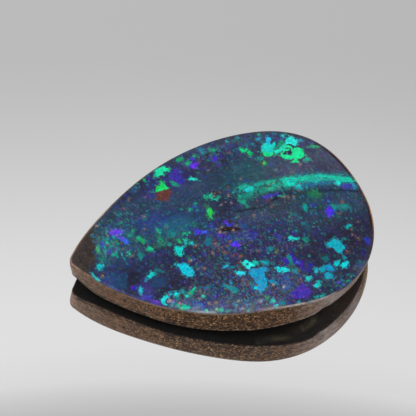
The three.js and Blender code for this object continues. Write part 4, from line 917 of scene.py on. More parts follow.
def stone_surface(pear):
    """The whole closed stone.

    The face is the grid's disc laid in the outline, and its height the edge's plus the dome's rise
    times one less the squared radius. The rows hang on its border and close on one middle point.
    Returns points, triangles, levels, the distance down from the edge of the face, which is
    negative on the face, and the point numbers of the border and the rows.
    """
    radius, turn = face_grid(FACE_SQUARES)
    point, normal = pear.at(pear.end_share + turn)
    at = drawn_in(point, normal, np.full(turn.shape, -EDGE_ROUND), radius)
    height = pear.face_level(at) + pear.dome * (1 - radius**2)
    face = np.concatenate([at, height[..., None]], -1).reshape(-1, 3)

    around = 4 * FACE_SQUARES
    rows, levels = stone_rows(pear, around)
    points = np.vstack([face, rows.reshape(-1, 3), [[*MIDDLE, 0.0]]])
    on_face = np.full(len(face), FACE_LEVEL)
    level = np.concatenate([on_face, np.repeat(levels, around), [LAST_LEVEL]])

    index = len(face) + np.arange(rows.shape[0] * around).reshape(-1, around)
    index = np.vstack([grid_border(FACE_SQUARES), index])
    step = np.linalg.norm(np.diff(points[index], axis=0), axis=-1)
    drop = np.zeros(len(points))
    near_middle = np.maximum(radius.ravel(), 0.1)
    drop[: len(face)] = np.hypot(*(face[:, :2] - MIDDLE).T) * (1 - 1 / near_middle)
    drop[index[1:]] = np.cumsum(step, axis=0)

    across = np.roll(index, -1, 1)
    inner, outer = index[:-1], index[1:]
    inner_next, outer_next = across[:-1], across[1:]
    strips = [
        np.stack(corners, -1).reshape(-1, 3)
        for corners in ((inner, outer, outer_next), (inner, outer_next, inner_next))
    ]
    last = index[-1]
    pole = np.stack([last, np.full(around, len(points) - 1), np.roll(last, -1)], -1)
    triangles = np.vstack([grid_triangles(FACE_SQUARES), *strips, pole])
    return points, triangles, level, drop, index


def fitted(points):
    """The points moved so that their box is centred on the CAD model's and stands on its floor."""
    low, high = (np.array(corner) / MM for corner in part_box(CAD_NODE))
    middle = (points.min(0) + points.max(0)) / 2
    shift = np.array([*((low + high) / 2 - middle)[:2], low[2] - points[:, 2].min()])
    slack = 1e-4
    return np.clip(points + shift, low + [slack, slack, 0], high - slack)


def nearest(at, start, stop):
    """Distance to the nearest of some stretches: to the place on each that lies beside a point."""
    side = stop - start
    away = at[:, None, :] - start[None]
    along = np.clip((away * side).sum(-1) / (side**2).sum(-1), 0, 1)
    return np.linalg.norm(away - along[..., None] * side, axis=-1).min(1)


def outline_distance(at, corners):
    """Signed distance to a closed outline: to the nearest side, and negative inside by crossings
    counted to the right."""
    start, stop = corners, np.roll(corners, -1, 0)
    side = stop - start
    above = (start[:, 1] > at[:, 1:]) != (stop[:, 1] > at[:, 1:])
    slope = side[:, 0] / np.where(side[:, 1] == 0, 1e-9, side[:, 1])
    crossing = start[:, 0] + (at[:, 1:] - start[:, 1]) * slope
    inside = (above & (at[:, :1] < crossing)).sum(1) % 2 == 1
    distance = nearest(at, start, stop)
    return np.where(inside, -distance, distance)


def line_distance(at, corners):
    """Distance to an open line: the least over its stretches."""
    return nearest(at, np.array(corners[:-1]), np.array(corners[1:]))


def numbers(text):
    """The numbers in a piece of drawing text, with commas or spaces between them."""
    return [float(word) for word in text.replace(",", " ").split()]


def entries(text):
    """The entries of a drawing text: the numbers before and after the colon of each."""
    for entry in text.split(";"):
        shade, place = entry.split(":")
        yield numbers(shade), numbers(place)


def draw_flakes(at):
    """For each point the signed distance to a flake's edge, and that flake's colour and strength.

    Flakes and then spots are laid in turn. A point keeps the one whose edge it is deepest inside
    or nearest to, but a spot also takes every point that lies in it.
    """
    edge = np.full(len(at), FLAKE_REACH)
    colour = np.tile([*as_paint(BODY_COLOUR), 1.0], (len(at), 1))

    def lay(near, distance, taken, red, green, blue, strength=1.0):
        chosen = np.flatnonzero(near)[taken]
        edge[chosen] = distance[taken]
        colour[chosen] = [*as_paint((red, green, blue)), strength]

    for shade, corners in entries(FLAKES):
        corners = np.array(corners).reshape(-1, 2)
        near = ((at > corners.min(0) - FLAKE_REACH) & (at < corners.max(0) + FLAKE_REACH)).all(1)
        distance = outline_distance(at[near], corners)
        lay(near, distance, distance < edge[near], *shade)
    for shade, (x, y, *radius) in entries(SPOTS):
        radius = radius[0] if radius else SPOT_RADIUS
        near = (np.abs(at - [x, y]) < FLAKE_REACH + radius).all(1)
        distance = np.hypot(*(at[near] - [x, y]).T) - radius
        lay(near, distance, (distance < SPOT_RIM) | (distance < edge[near]), *shade)
    return edge, colour


def draw_body_and_reflection(at):
    """Body colour, with painted reflection as a grey haze at the back of the round end: patches
    laid over each other in turn, each by a flat-topped bump.
    """
    colour = np.tile(as_paint(BODY_COLOUR), (len(at), 1))
    for x, y, rx, ry, strength, *shade in BODY_PATCHES_AND_REFLECTION:
        share = strength * soft_patch(at, x, y, rx, ry, BODY_FADE, PATCH_POWER)
        colour = colour * (1 - share) + as_paint(shade) * share
    return np.c_[colour, np.ones(len(at))]


def draw_haze(at):
    """Colour and strength of the faint patches, each laid over those before by a flat bump."""
    colour = np.zeros((len(at), 4))
    for shade, place in entries(BLURS):
        share = soft_patch(at, *place, HAZE_FADE, PATCH_POWER)
        mixed = colour[:, 3:] + share * (1 - colour[:, 3:])
        colour[:, :3] += (as_paint(shade) - colour[:, :3]) * share / np.maximum(mixed, 1e-6)
        colour[:, 3:] = mixed
    return colour


def draw_mosaic(at):
    """Shares of teal, violet and tan cells and of streaks, blended between patches by bells."""
    shares = np.tile(MOSAIC_BASE, (len(at), 1)).astype(float)
    for x, y, rx, ry, *share in MOSAIC_PATCHES:
        weight = soft_patch(at, x, y, rx, ry)
        shares = shares * (1 - weight) + np.array(share) * weight
    return shares


def draw_wall_and_sheen(at):
    """Ironstone tone along the wall, its pale stretches painted sheen, and how speckled it is:
    stretches laid in turn by a bell.
    """
    colour = np.tile([*wall_paint(WALL_COLOUR), WALL_SPECKLE], (len(at), 1))
    for x, y, reach, speckle, *shade in WALL_TONES_AND_SHEEN:
        share = round_patch(at, x, y, reach)
        colour = colour * (1 - share) + np.array([*wall_paint(shade), speckle]) * share
    return colour


def draw_ironstone_and_painted_light(at, level):
    """Ironstone tone and speckle everywhere, with painted light: the wall's, with painted sheen and
    a foot darkened as painted shade, the bare tip's on the face, and the back's, painted near black
    as shade, with its seam and the painted glints of the girdle laid over them by bells."""
    x, y = at.T
    tone = draw_wall_and_sheen(at)
    tone[level > ON_FACE] = [*as_paint(TIP_COLOUR), TIP_SPECKLE]
    # Painted shade: the foot of the front wall darkened.
    foot = (level <= FOOT_LEVEL) & (level >= 0) & (y < 0)
    tone[:, :3] *= 1 - FOOT_SHADE * (foot * eased(-x, *FOOT_SPAN))[:, None]
    under = level < 0
    # Painted shade: the back set near black, lifted towards the round end.
    tone[under] = [*wall_paint(BACK_COLOUR_AND_SHADE, 0.0), 0.0]
    tone[under, :3] *= 1 + BACK_SHADE_LIFT * bell(x[under] - BACK_SHADE_LIFT_AT, BACK_SHADE_LIFT_REACH)[:, None]
    seam = bell(line_distance(at, BACK_SEAM), SEAM_WIDTH) * under
    # Painted highlights: broken glints along the girdle.
    glint = GLINT + GLINT_PEAK * bell(x - GLINT_AT, GLINT_REACH)
    slow, fast = GLINT_TURNS
    glint = glint * (GLINT_STEADY + GLINT_BROKEN * np.sin(slow * x + np.sin(fast * x)))
    glint = glint * (np.abs(level - GLINT_LEVEL) < GLINT_BAND) * eased(-y, *GLINT_FRONT)
    for shade, share in ((SEAM_COLOUR, seam), (GIRDLE_GLINT_COLOUR, glint)):
        tone[:, :3] += (wall_paint(shade, 0.0) - tone[:, :3]) * share[:, None]
    return tone


def draw_bare(at, level):
    """How bare the ironstone is: eased across the tip's line on the face, and full elsewhere."""
    tip_x, tip_y = np.array(TIP_LINE)[::-1].T
    over = np.interp(at[:, 1], tip_y, tip_x) - at[:, 0]
    on_face = 2 * eased(over, *TIP_BLEND) - 0.5
    return np.where(level > NEAR_FACE, on_face, np.where(level < 0, BARE_BACK, BARE_WALL))


def draw_rim_and_highlights(at, drop):
    """Tone and strength of the bands round the rim, partly painted highlights: each by a bell along
    it and eased sides.
    """
    colour = np.tile([*as_paint(RIM_COLOUR), 0.0], (len(at), 1))
    for x, y, reach, start, stop, strength, *shade in RIM_TONES_AND_HIGHLIGHTS:
        below_start = eased(drop, start - RIM_BLUR, start + RIM_BLUR)
        above_stop = 1 - eased(drop, stop - RIM_BLUR, stop + RIM_BLUR)
        share = round_patch(at, x, y, reach) * (below_start * above_stop)[:, None]
        colour += (np.array([*as_paint(shade), strength]) - colour) * share
    return colour


def bake_layout(points, triangles, level, drop, index):
    """Corner places for a map that gives the face most of it.

    The face lies flat at the top, the wall is unrolled in three strips at the lower right and the
    back lies flat at the lower left. Distances keep their proportions within each part.
    """
    texels = np.array([FACE_TEXELS, WALL_TEXELS, BACK_TEXELS])
    face_scale, wall_scale, back_scale = texels / MAP_SIDE
    margin = MAP_MARGIN / MAP_SIDE
    corner = points[triangles]
    places = np.empty(corner.shape[:2] + (2,))
    size = np.ptp(points[:, :2], axis=0)
    low = points[:, :2].min(0)
    tops = level[triangles].max(1) > ON_FACE
    sides = ~tops & (level[triangles].max(1) > 0)
    under = ~tops & ~sides

    face_floor = 1 - margin - size[1] * face_scale
    places[tops] = (corner[tops][..., :2] - low) * face_scale + [margin, face_floor]
    places[under] = (corner[under][..., :2] - low) * back_scale + margin
    places[under, :, 0] = margin + (points[:, 0].max() - corner[under][..., 0]) * back_scale

    around = index.shape[1]
    column = np.zeros(len(points))
    column[index] = np.arange(around)[None]
    edge = points[index[0]]
    step = np.linalg.norm(np.roll(edge, -1, 0) - edge, axis=1)
    far = np.concatenate([[0], np.cumsum(step)])
    col = column[triangles[sides]]
    wraps = np.ptp(col, axis=1) > around / 2
    col = np.where(wraps[:, None] & (col == 0), around, col)
    strip = (col.min(1) * WALL_STRIPS // around).astype(int)
    starts = far[(np.arange(WALL_STRIPS) * around) // WALL_STRIPS]
    along = far[col.astype(int)] - starts[strip][:, None]
    left = margin * 3 + size[0] * back_scale
    bottom = margin + strip * (face_floor - margin) / WALL_STRIPS
    places[sides, :, 0] = left + along * wall_scale
    places[sides, :, 1] = bottom[:, None] + drop[triangles[sides]] * wall_scale
    return places


def put_in_mesh(mesh, name, values):
    """Stores one number or one colour for each point of a mesh under a name."""
    single = np.ndim(values) == 1
    layer = mesh.attributes.new(name, "FLOAT" if single else "FLOAT_COLOR", "POINT")
    layer.data.foreach_set("value" if single else "color", np.ravel(values).astype(np.float32))


class Wire:
    """One socket of a recipe's nodes; sums written with it add their Math nodes."""

    def __init__(self, recipe, socket):
        self.recipe = recipe
        self.socket = socket

    def __add__(self, other):
        return self.recipe.maths("ADD", self, other)

    def __sub__(self, other):
        return self.recipe.maths("SUBTRACT", self, other)

    def __rsub__(self, other):
        return self.recipe.maths("SUBTRACT", other, self)

    def __mul__(self, other):
        return self.recipe.maths("MULTIPLY", self, other)

    __radd__ = __add__
    __rmul__ = __mul__


class Recipe:
    """The node tree of one material or of the surroundings."""

    def __init__(self, owner):
        owner.use_nodes = True
        self.tree = owner.node_tree
        self.tree.nodes.clear()

    def add(self, kind, settings=None, values=None):
        """Adds a node: its settings first, then a number, colour or wire on each socket."""
        node = self.tree.nodes.new(kind)
        for name, value in (settings or {}).items():
            if name == "stops":
                ramp = node.color_ramp
                ramp.interpolation = "EASE"
                while len(ramp.elements) < len(value):
                    ramp.elements.new(1.0)
                for element, (place, colour) in zip(ramp.elements, value):
                    element.position = place
                    element.color = colour
            else:
                setattr(node, name, value)
        for key, value in (values or {}).items():
            if isinstance(value, Wire):
                self.tree.links.new(value.socket, node.inputs[key])
            else:
                node.inputs[key].default_value = value
        return node

    def wire(self, kind, settings=None, values=None, output=0):
        """Adds a node and takes one of its outputs."""
        return Wire(self, self.add(kind, settings, values).outputs[output])

    def maths(self, operation, *terms):
        """A Math node on numbers or wires."""
        return self.wire("ShaderNodeMath", {"operation": operation}, dict(enumerate(terms)))

    def blend(self, share, a, b, way="MIX"):
        """One colour over another by a share."""
        settings = {"data_type": "RGBA", "blend_type": way, "clamp_factor": True}
        return self.wire("ShaderNodeMix", settings, {0: share, 6: a, 7: b}, 2)

    def vectors(self, operation, a, b):
        """A Vector Math node on two vectors; a scaling takes a number as the second."""
        second = 3 if operation == "SCALE" else 1
        return self.wire("ShaderNodeVectorMath", {"operation": operation}, {0: a, second: b})

    def step(self, value, low, high, bottom=0.0, top=1.0):
        """Runs smoothly from bottom at low to top at high."""
        ends = {"From Min": low, "From Max": high, "To Min": bottom, "To Max": top}
        settings = {"interpolation_type": "SMOOTHSTEP"}
        return self.wire("ShaderNodeMapRange", settings, {"Value": value, **ends})

    def flare(self, chance, power, gain, base):
        """Mostly dim and seldom bright: a power of a chance times a gain, plus a base."""
        return self.maths("POWER", chance, power) * gain + base

    def noise(self, at, scale, detail=2.0, roughness=0.5, output=0):
        """Cloudy noise, as a number or, as output 1, as a colour."""
        sockets = {"Vector": at, "Scale": scale, "Detail": detail, "Roughness": roughness}
        return self.wire("ShaderNodeTexNoise", {"noise_dimensions": "3D"}, sockets, output)

    def colour_noise(self, at, scale, detail):
        """Noise of colours spread round nothing, a half either way."""
        return self.vectors("SUBTRACT", self.noise(at, scale, detail, 0.6, 1), (0.5, 0.5, 0.5))

    def tint(self, noise, strength):
        """Colours spread round white: a noise times each channel's strength, plus one."""
        return self.vectors("ADD", self.vectors("MULTIPLY", noise, strength), (1.0, 1.0, 1.0))

    def cells(self, at, scale, output="Distance", smoothness=0.0, dimensions="3D"):
        """Cells round scattered points, blended into each other by a smoothness."""
        feature = "SMOOTH_F1" if smoothness else "F1"
        settings = {"voronoi_dimensions": dimensions, "feature": feature}
        sockets = {"Vector": at, "Scale": scale}
        if smoothness:
            sockets["Smoothness"] = smoothness
        return self.wire("ShaderNodeTexVoronoi", settings, sockets, output)

    def drawn_out(self, at, turn, stretch):
        """The same place with patterns stretched along axes turned about the upright."""
        values = {"Vector": at, "Rotation": (0.0, 0.0, turn), "Scale": stretch}
        return self.wire("ShaderNodeMapping", {"vector_type": "TEXTURE"}, values)

    def split(self, colour):
        """The three channels of a colour."""
        node = self.add("ShaderNodeSeparateColor", None, {0: colour})
        return [Wire(self, socket) for socket in node.outputs]

    def named(self, name, output="Fac"):
        """What the mesh holds under a name."""
        settings = {"attribute_type": "GEOMETRY", "attribute_name": name}
        return self.wire("ShaderNodeAttribute", settings, None, output)


def rgba(colour):
    """A colour with a full fourth channel."""
    return (*[float(part) for part in colour], 1.0)


def mosaic(r, mm, loose, tint, colours):
    """Body colour with clouds, and fragments of three kinds lit or dark by their own chance."""
    cloud = r.step(r.noise(mm, 0.9, 4.0, 0.62), 0.28, 0.72, 0.84, 1.2)
    mist = r.step(r.noise(mm, 4.5, 3.0, 0.65), 0.25, 0.75, 0.78, 1.25)
    face = r.vectors("SCALE", r.named("body", "Color"), cloud * mist)

    teal_share, violet_share, tan_share = r.split(r.named("mosaic", "Color"))
    streaky = r.named("mosaic", "Alpha")
    busy = r.maths("MAXIMUM", teal_share, violet_share)
    green = r.step(r.noise(mm, 0.9, 2.0), 0.35, 0.65)
    teal = r.blend(green, rgba(colours.teal), rgba(colours.green))
    bluer = r.step(r.noise(mm, 1.7, 1.0), 0.35, 0.65)
    violet = r.blend(bluer, rgba(colours.blue), rgba(colours.violet))

    dark, blue, _ = r.split(r.cells(loose, 1.7, "Color", 0.6))
    face = r.blend(r.step(blue, 0.5, 0.8) * violet_share * 0.6, face, violet, "ADD")
    face = r.blend(r.step(dark, 0.45, 0.75) * busy * 1.2, face, FACE_DARK)

    haze = r.step(r.split(r.cells(loose, 7.5, "Color", 0.15))[1], 0.3, 0.62, 0.25, 1.1)
    face = r.blend(r.named("haze", "Alpha") * haze, face, r.named("haze", "Color"))

    amounts = (1.0 - streaky, 1.0 - streaky * 0.6, r.step(tan_share, 0.1, 0.8) * 1.2)
    for (size, smoothness, shade), amount in zip(FRAGMENTS, amounts):
        pick, glow, other = r.split(r.cells(loose, size, "Color", smoothness))
        lit = r.flare(glow, 2.4, 0.9, 0.1) * amount * shade
        face = r.blend(r.step(violet_share * 0.62 - other, *FRAGMENT_EDGE) * lit, face, violet)
        face = r.blend(r.step(teal_share * 0.62 - pick, *FRAGMENT_EDGE) * lit, face, teal)
        face = r.blend(r.step(glow - pick, 0.1, 0.6) * amount * busy * 1.1, face, FACE_DARK)

    for turn, size, shade in SPARKS:
        at = r.drawn_out(loose, turn, (1.0, 2.8, 1.0))
        away = r.cells(at, size, dimensions="2D")
        pick, glow, other = r.split(r.cells(at, size, "Color", dimensions="2D"))
        shape = r.step(away, 0.55, 0.25) * r.flare(glow, 2.8, 0.95, 0.08) * shade
        shape = shape * r.step(streaky, 0.0, 0.8, 0.2, 0.9)
        face = r.blend(r.step(violet_share * 0.8 - other, *CELL_EDGE) * shape, face, violet)
        face = r.blend(r.step(teal_share * 1.1 - pick, *CELL_EDGE) * shape, face, teal)
        face = r.blend(r.step(tan_share * 0.5 + pick, 1.0, 1.02) * shape * 0.6, face, SPECK_TAN)
    return r.vectors("MULTIPLY", face, tint)


def lay_flakes(r, face, mm, loose, ragged, pepper):
    """Flakes of colour with torn edges, fine slanted lines in them and a slight play of hue."""
    streaky = r.named("mosaic", "Alpha")
    strength = r.named("flake_colour", "Alpha")
    edge = r.named("flake_edge")
    block, tone, hue = r.split(r.cells(loose, 7.5, "Color", dimensions="2D"))
    lines = r.noise(r.drawn_out(mm, 0.6, (3.2, 1.0, 3.2)), 12.0, 1.0, 0.5)
    curtain = r.noise(r.drawn_out(mm, 0.1, (1.0, 4.0, 1.0)), 9.0, 2.0, 0.6) - 0.5
    torn = edge + ragged * 0.1 + (block - 0.5) * 0.07 + (lines - 0.5) * 0.06
    torn = torn + curtain * streaky * 0.34
    soft = streaky * 0.06 + 0.012
    inside = r.step(torn, soft, soft * -1.0) * strength
    bright = r.step(lines, 0.32, 0.68, 0.78, 1.12) * r.step(tone, 0.0, 1.0, 0.78, 1.1)
    flake = r.vectors("SCALE", r.named("flake_colour", "Color"), bright)
    turned = {"Hue": r.step(hue, 0.0, 1.0, 0.488, 0.512), "Color": flake}
    flake = r.wire("ShaderNodeHueSaturation", None, turned)
    run = r.noise(r.drawn_out(mm, -0.17, (8.0, 1.0, 8.0)), 8.0, 3.0, 0.6)
    gaps = r.step(run + curtain * 0.3, 0.55, 0.43) * r.step(streaky, 0.4, 0.8) * 0.8
    flake = r.blend(gaps, flake, r.vectors("SCALE", face, 1.3))
    halo = r.step(torn, 0.12, 0.0) * strength * 0.14
    chips = r.step(edge, 0.24, 0.03) * r.step(block, 0.76, 0.79) * strength * 0.6
    face = r.blend(r.maths("MAXIMUM", halo, chips), face, flake)
    return r.blend(inside, face, r.vectors("MULTIPLY", flake, r.blend(0.5, pepper, WHITE)))


def lay_specks(r, face, loose):
    """Tan and rust specks of ironstone in the opal."""
    tan_share = r.split(r.named("mosaic", "Color"))[2]
    for size, radius, shade, strength in SPECKS:
        away = r.cells(loose, size, dimensions="2D")
        draw, glow, warm = r.split(r.cells(loose, size, "Color", dimensions="2D"))
        share = tan_share * r.step(tan_share, 0.0, size * 0.08, 0.3, 1.0)
        here = r.step(share * 0.8 - draw, *CELL_EDGE) * r.step(away, radius, radius * 0.3)
        speck = r.blend(r.step(warm, 0.75, 1.0), shade, SPECK_RUST)
        face = r.blend(here * (glow * 0.7 + 0.3) * strength, face, speck)
    return face


def ironstone(r, mm, loose, fine, pepper, colours):
    """Brown ironstone: soft bands, golden grains and dark pores where it is speckled."""
    tone = r.named("ironstone_tone", "Color")
    speckle = r.named("ironstone_tone", "Alpha")
    bands = r.noise(r.drawn_out(mm, 0.0, (1.0, 1.0, 0.35)), 1.6, 3.0, 0.6)
    light = r.step(bands, 0.3, 0.7, 0.7, 1.3) * r.step(fine, 0.25, 0.75, 0.8, 1.2)
    stone = r.vectors("MULTIPLY", r.vectors("SCALE", tone, light), pepper)
    flat = r.drawn_out(loose, 0.0, (1.0, 1.0, 0.85))
    for size, pore, bright in GRAINS:
        draw, glow, warm = r.split(r.cells(flat, size, "Color", 0.06))
        stone = r.blend(r.step(draw, 0.45, 0.2) * pore * speckle, stone, IRON_DARK)
        grain_tone = r.blend(r.step(warm, 0.5, 0.9), rgba(colours.fleck), rgba(colours.pale_fleck))
        golden = r.step(draw, 0.62, 0.72) * r.flare(glow, 3.0, 0.9, 0.06) * bright
        stone = r.blend(golden * speckle, stone, grain_tone)
    return stone


def opal_finish(colours):
    """The stone's one finish: opal over the face, ironstone with its painted shade, sheen and
    glints where the mesh says that it is bare, and the bands of the rim, partly painted highlights,
    over both, in beads."""
    material = bpy.data.materials.new("opal on ironstone")
    r = Recipe(material)
    mm = r.vectors("SCALE", r.wire("ShaderNodeTexCoord", None, None, "Object"), 1 / MM)
    shaken = r.vectors("SCALE", r.colour_noise(mm, 5.0, 3.0), SHAKE)
    loose = r.vectors("ADD", mm, shaken)
    ragged = r.noise(mm, 6.5, 2.0, 0.6) - 0.5
    fine = r.noise(mm, 6.0, 3.0, 0.7)
    grains = r.colour_noise(mm, 12.0, 1.0)
    pepper = r.tint(grains, PEPPER_TINT)
    mottle = r.tint(r.colour_noise(mm, 4.0, 2.0), MOTTLE_TINT)
    grit = r.vectors("MULTIPLY", r.tint(grains, GRIT_TINT), mottle)

    face = mosaic(r, mm, loose, grit, colours)
    face = lay_flakes(r, face, mm, loose, ragged, pepper)
    face = lay_specks(r, face, loose)
    stone = ironstone(r, mm, loose, fine, pepper, colours)
    iron = r.named("ironstone")
    fibres = r.noise(r.drawn_out(mm, -0.5, (1.0, 3.0, 1.0)), 6.0, 3.0, 0.7) - 0.5
    patchy = r.noise(mm, 2.6, 3.0, 0.65) - 0.5
    bare = r.step(iron + patchy * 1.6 + fibres * 0.9, 0.4, 0.62)
    colour = r.blend(bare, face, stone)
    beads = r.step(r.noise(mm, 3.6, 2.0, 0.6) + ragged * 0.3, 0.3, 0.62, 0.5, 1.0)
    # The rim's bands, partly painted highlights, laid on in beads.
    rim = r.vectors("MULTIPLY", r.named("rim", "Color"), pepper)
    colour = r.blend(r.named("rim", "Alpha") * beads, colour, rim)

    height = fine * bare + ragged * bare
    bump = {"Strength": BUMP_SHARE, "Distance": BUMP_DEPTH, "Height": height}
    coat = r.step(bare, 0.0, 1.0, OPAL_COAT, IRON_COAT) * r.step(iron, 2.5, 2.0)
    sockets = {
        "Base Color": colour,
        "Roughness": r.step(bare, 0.0, 1.0, OPAL_ROUGH, IRON_ROUGH),
        "IOR": GEM_INDEX,
        "Specular IOR Level": GEM_SPECULAR,
        "Normal": r.wire("ShaderNodeBump", None, bump),
        "Coat Weight": coat,
        "Coat Roughness": COAT_ROUGH,
        "Coat IOR": COAT_INDEX,
    }
    shader = r.wire("ShaderNodeBsdfPrincipled", None, sockets)
    r.add("ShaderNodeOutputMaterial", None, {"Surface": shader})
    return material


def length_property(name, description, default):
    """A length setting, in metres."""
    return bpy.props.FloatProperty(
        name=name, description=description, default=default, subtype="DISTANCE", unit="LENGTH"
    )


class OpalSizes(bpy.types.PropertyGroup):
    """The sizes of the stone."""

    length: length_property("Length", "Length of the face", 0.01985)
    width: length_property("Width", "Width of the face", 0.0144)
    edge_height: length_property("Edge height", "Height of the edge of the face", 0.00223)
    dome: length_property("Dome", "Rise of the face above its edge", 0.0005)
    girdle_height: length_property(
        "Girdle height", "Lowest height at which the wall turns under", 0.00056
    )


def colour_property(name, description, screen):
    """A colour setting, given as it shows on a screen."""
    shown = {"size": 3, "subtype": "COLOR", "min": 0, "max": 1, "default": tuple(linear(screen))}
    return bpy.props.FloatVectorProperty(name=name, description=description, **shown)


class OpalColours(bpy.types.PropertyGroup):
    """The colours of the fine mosaic and of the ironstone."""

    teal: colour_property("Teal", "Teal cells of the mosaic", (20, 165, 175))
    green: colour_property("Green", "Green cells of the mosaic", (25, 160, 120))
    blue: colour_property("Blue", "Blue cells of the mosaic", (40, 80, 190))
    violet: colour_property("Violet", "Violet cells of the mosaic", (70, 45, 175))
    fleck: colour_property("Golden grains", "Golden grains in the ironstone", (196, 146, 98))
    pale_fleck: colour_property("Pale grains", "Pale grains in the ironstone", (205, 168, 120))


class OPAL_OT_stone(bpy.types.Operator):
    """Builds the stone as one closed surface with its finish"""

    bl_idname = "opal.stone"
    bl_label = "Boulder opal"

    def execute(self, context):
        points, triangles, level, drop, index = stone_surface(Pear(context.scene.opal_sizes))
        points = fitted(points)
        if len(triangles) >= MOST_TRIANGLES:
            raise ValueError("the stone has too many triangles")

        mesh = bpy.data.meshes.new("boulder_opal_polished")
        mesh.from_pydata(points * MM, [], triangles.tolist())
        mesh.shade_smooth()
        self.draw_on(mesh, points[:, :2], level, drop)
        layout = mesh.uv_layers.new(name="OFBake")
        places = bake_layout(points, triangles, level, drop, index)
        layout.data.foreach_set("uv", places.astype(np.float32).ravel())

        piece = bpy.data.objects.new("boulder_opal_polished", mesh)
        context.scene.collection.objects.link(piece)
        mesh.materials.append(opal_finish(context.scene.opal_colours))
        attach(piece, "root")
        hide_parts(CAD_NODE)
        return {"FINISHED"}

    def draw_on(self, mesh, at, level, drop):
        """Stores on the mesh what the finish is drawn from: flakes only on and near the face."""
        near_face = level > NEAR_FACE
        edge = np.full(len(at), FLAKE_REACH)
        flakes = np.tile([*as_paint(BODY_COLOUR), 1.0], (len(at), 1))
        edge[near_face], flakes[near_face] = draw_flakes(at[near_face])
        drawings = {
            "flake_edge": edge,
            "flake_colour": flakes,
            "body": draw_body_and_reflection(at),
            "haze": draw_haze(at),
            "mosaic": draw_mosaic(at),
            "ironstone": draw_bare(at, level),
            "ironstone_tone": draw_ironstone_and_painted_light(at, level),
            "rim": draw_rim_and_highlights(at, drop),
        }
        for name, values in drawings.items():
            put_in_mesh(mesh, name, values)


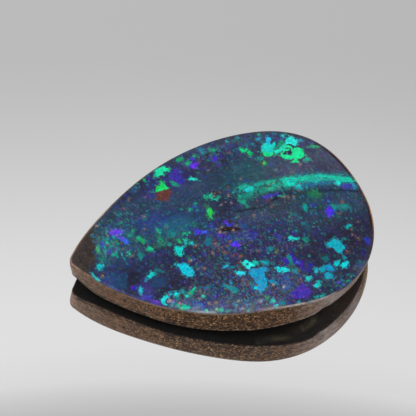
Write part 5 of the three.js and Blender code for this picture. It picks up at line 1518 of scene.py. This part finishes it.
class OPAL_OT_studio(bpy.types.Operator):
    """Makes the glossy surface, the soft light, the surroundings and the camera"""

    bl_idname = "opal.studio"
    bl_label = "Studio"

    def execute(self, context):
        scene = context.scene
        self.surface(scene)
        self.surroundings(scene)
        self.lamp(scene)
        self.camera(scene)
        scene.view_settings.view_transform = "Standard"
        return {"FINISHED"}

    def surface(self, scene):
        """A level square sheet, a hair under the stone, clear from below."""
        corner = np.array([[-1, -1], [1, -1], [1, 1], [-1, 1]]) * FLOOR_SIDE / 2
        mesh = bpy.data.meshes.new("glossy_surface")
        mesh.from_pydata(np.c_[corner, np.full(4, -FLOOR_GAP)], [], [(0, 1, 2, 3)])
        material = bpy.data.materials.new("glossy pale surface")
        r = Recipe(material)
        polish = {"Base Color": MIRROR_COLOUR, "Metallic": 1.0, "Roughness": 0.0}
        mirror = r.wire("ShaderNodeBsdfPrincipled", None, polish)
        matt = r.wire("ShaderNodeBsdfDiffuse", None, {"Color": MATT_COLOUR})
        mirror = r.wire("ShaderNodeMixShader", None, {0: FLOOR_MATT, 1: mirror, 2: matt})
        clear = r.wire("ShaderNodeBsdfTransparent")
        behind = r.wire("ShaderNodeNewGeometry", None, None, "Backfacing")
        shader = r.wire("ShaderNodeMixShader", None, {0: behind, 1: mirror, 2: clear})
        r.add("ShaderNodeOutputMaterial", None, {"Surface": shader})
        mesh.materials.append(material)
        floor = bpy.data.objects.new("glossy_surface", mesh)
        scene.collection.objects.link(floor)

    def surroundings(self, scene):
        """Grey all round, its brightness set by height above the horizon."""
        world = bpy.data.worlds.new("soft grey surroundings")
        scene.world = world
        r = Recipe(world)
        way = r.wire("ShaderNodeTexCoord", None, None, "Generated")
        dot = {"operation": "DOT_PRODUCT"}
        across = r.wire("ShaderNodeVectorMath", dot, {0: way, 1: SKY_RIGHT}, 1)
        height = Wire(r, r.add("ShaderNodeSeparateXYZ", None, {0: way}).outputs[2])
        stops = [(place, (bright, bright, bright, 1.0)) for place, bright in SKY_STOPS]
        sky = r.wire("ShaderNodeValToRGB", {"stops": stops}, {0: height + across * SKY_SLANT})
        strength = across * SKY_FADE + 1.0
        glow = r.wire("ShaderNodeBackground", None, {"Color": sky, "Strength": strength})
        r.add("ShaderNodeOutputWorld", None, {"Surface": glow})

    def lamp(self, scene):
        """A wide soft panel overhead that lights without showing in the gloss."""
        light = bpy.data.lights.new("overhead panel", "AREA")
        light.shape = "SQUARE"
        light.size = PANEL_SIDE
        light.energy = PANEL_POWER
        panel = bpy.data.objects.new("overhead panel", light)
        panel.location = PANEL_AT
        panel.visible_glossy = False
        scene.collection.objects.link(panel)

    def camera(self, scene):
        """The photograph's view: where it stood, what it aimed at, and its roll."""
        lens = bpy.data.cameras.new("camera")
        lens.lens = CAMERA_LENS
        lens.sensor_width = CAMERA_SENSOR
        lens.sensor_fit = "HORIZONTAL"
        lens.clip_start, lens.clip_end = CAMERA_NEAR, CAMERA_FAR
        at, aim = Vector(CAMERA_AT) * MM, Vector(CAMERA_AIM) * MM
        roll = Quaternion((0, 0, 1), np.radians(CAMERA_ROLL))
        camera = bpy.data.objects.new("camera", lens)
        camera.location = at
        camera.rotation_mode = "QUATERNION"
        camera.rotation_quaternion = (aim - at).to_track_quat("-Z", "Y") @ roll
        scene.collection.objects.link(camera)
        scene.camera = camera


class OPAL_PT_panel(bpy.types.Panel):
    """Lists the pieces and the settings"""

    bl_label = "Boulder opal"
    bl_idname = "OPAL_PT_panel"
    bl_space_type = "VIEW_3D"
    bl_region_type = "UI"
    bl_category = "Boulder opal"

    def draw(self, context):
        layout = self.layout
        for settings in (context.scene.opal_sizes, context.scene.opal_colours):
            for name in settings.__annotations__:
                layout.prop(settings, name)
        layout.operator(OPAL_OT_stone.bl_idname)
        layout.operator(OPAL_OT_studio.bl_idname)


CLASSES = (OpalSizes, OpalColours, OPAL_OT_stone, OPAL_OT_studio, OPAL_PT_panel)


def register():
    """Registers the classes and hangs the settings on the scene."""
    for each in CLASSES:
        bpy.utils.register_class(each)
    bpy.types.Scene.opal_sizes = bpy.props.PointerProperty(type=OpalSizes)
    bpy.types.Scene.opal_colours = bpy.props.PointerProperty(type=OpalColours)


def unregister():
    """Takes the settings and the classes away again."""
    del bpy.types.Scene.opal_colours
    del bpy.types.Scene.opal_sizes
    for each in reversed(CLASSES):
        bpy.utils.unregister_class(each)


def main():
    """Builds everything in order."""
    register()
    bpy.ops.opal.stone()
    bpy.ops.opal.studio()


if __name__ == "__main__":
    main()
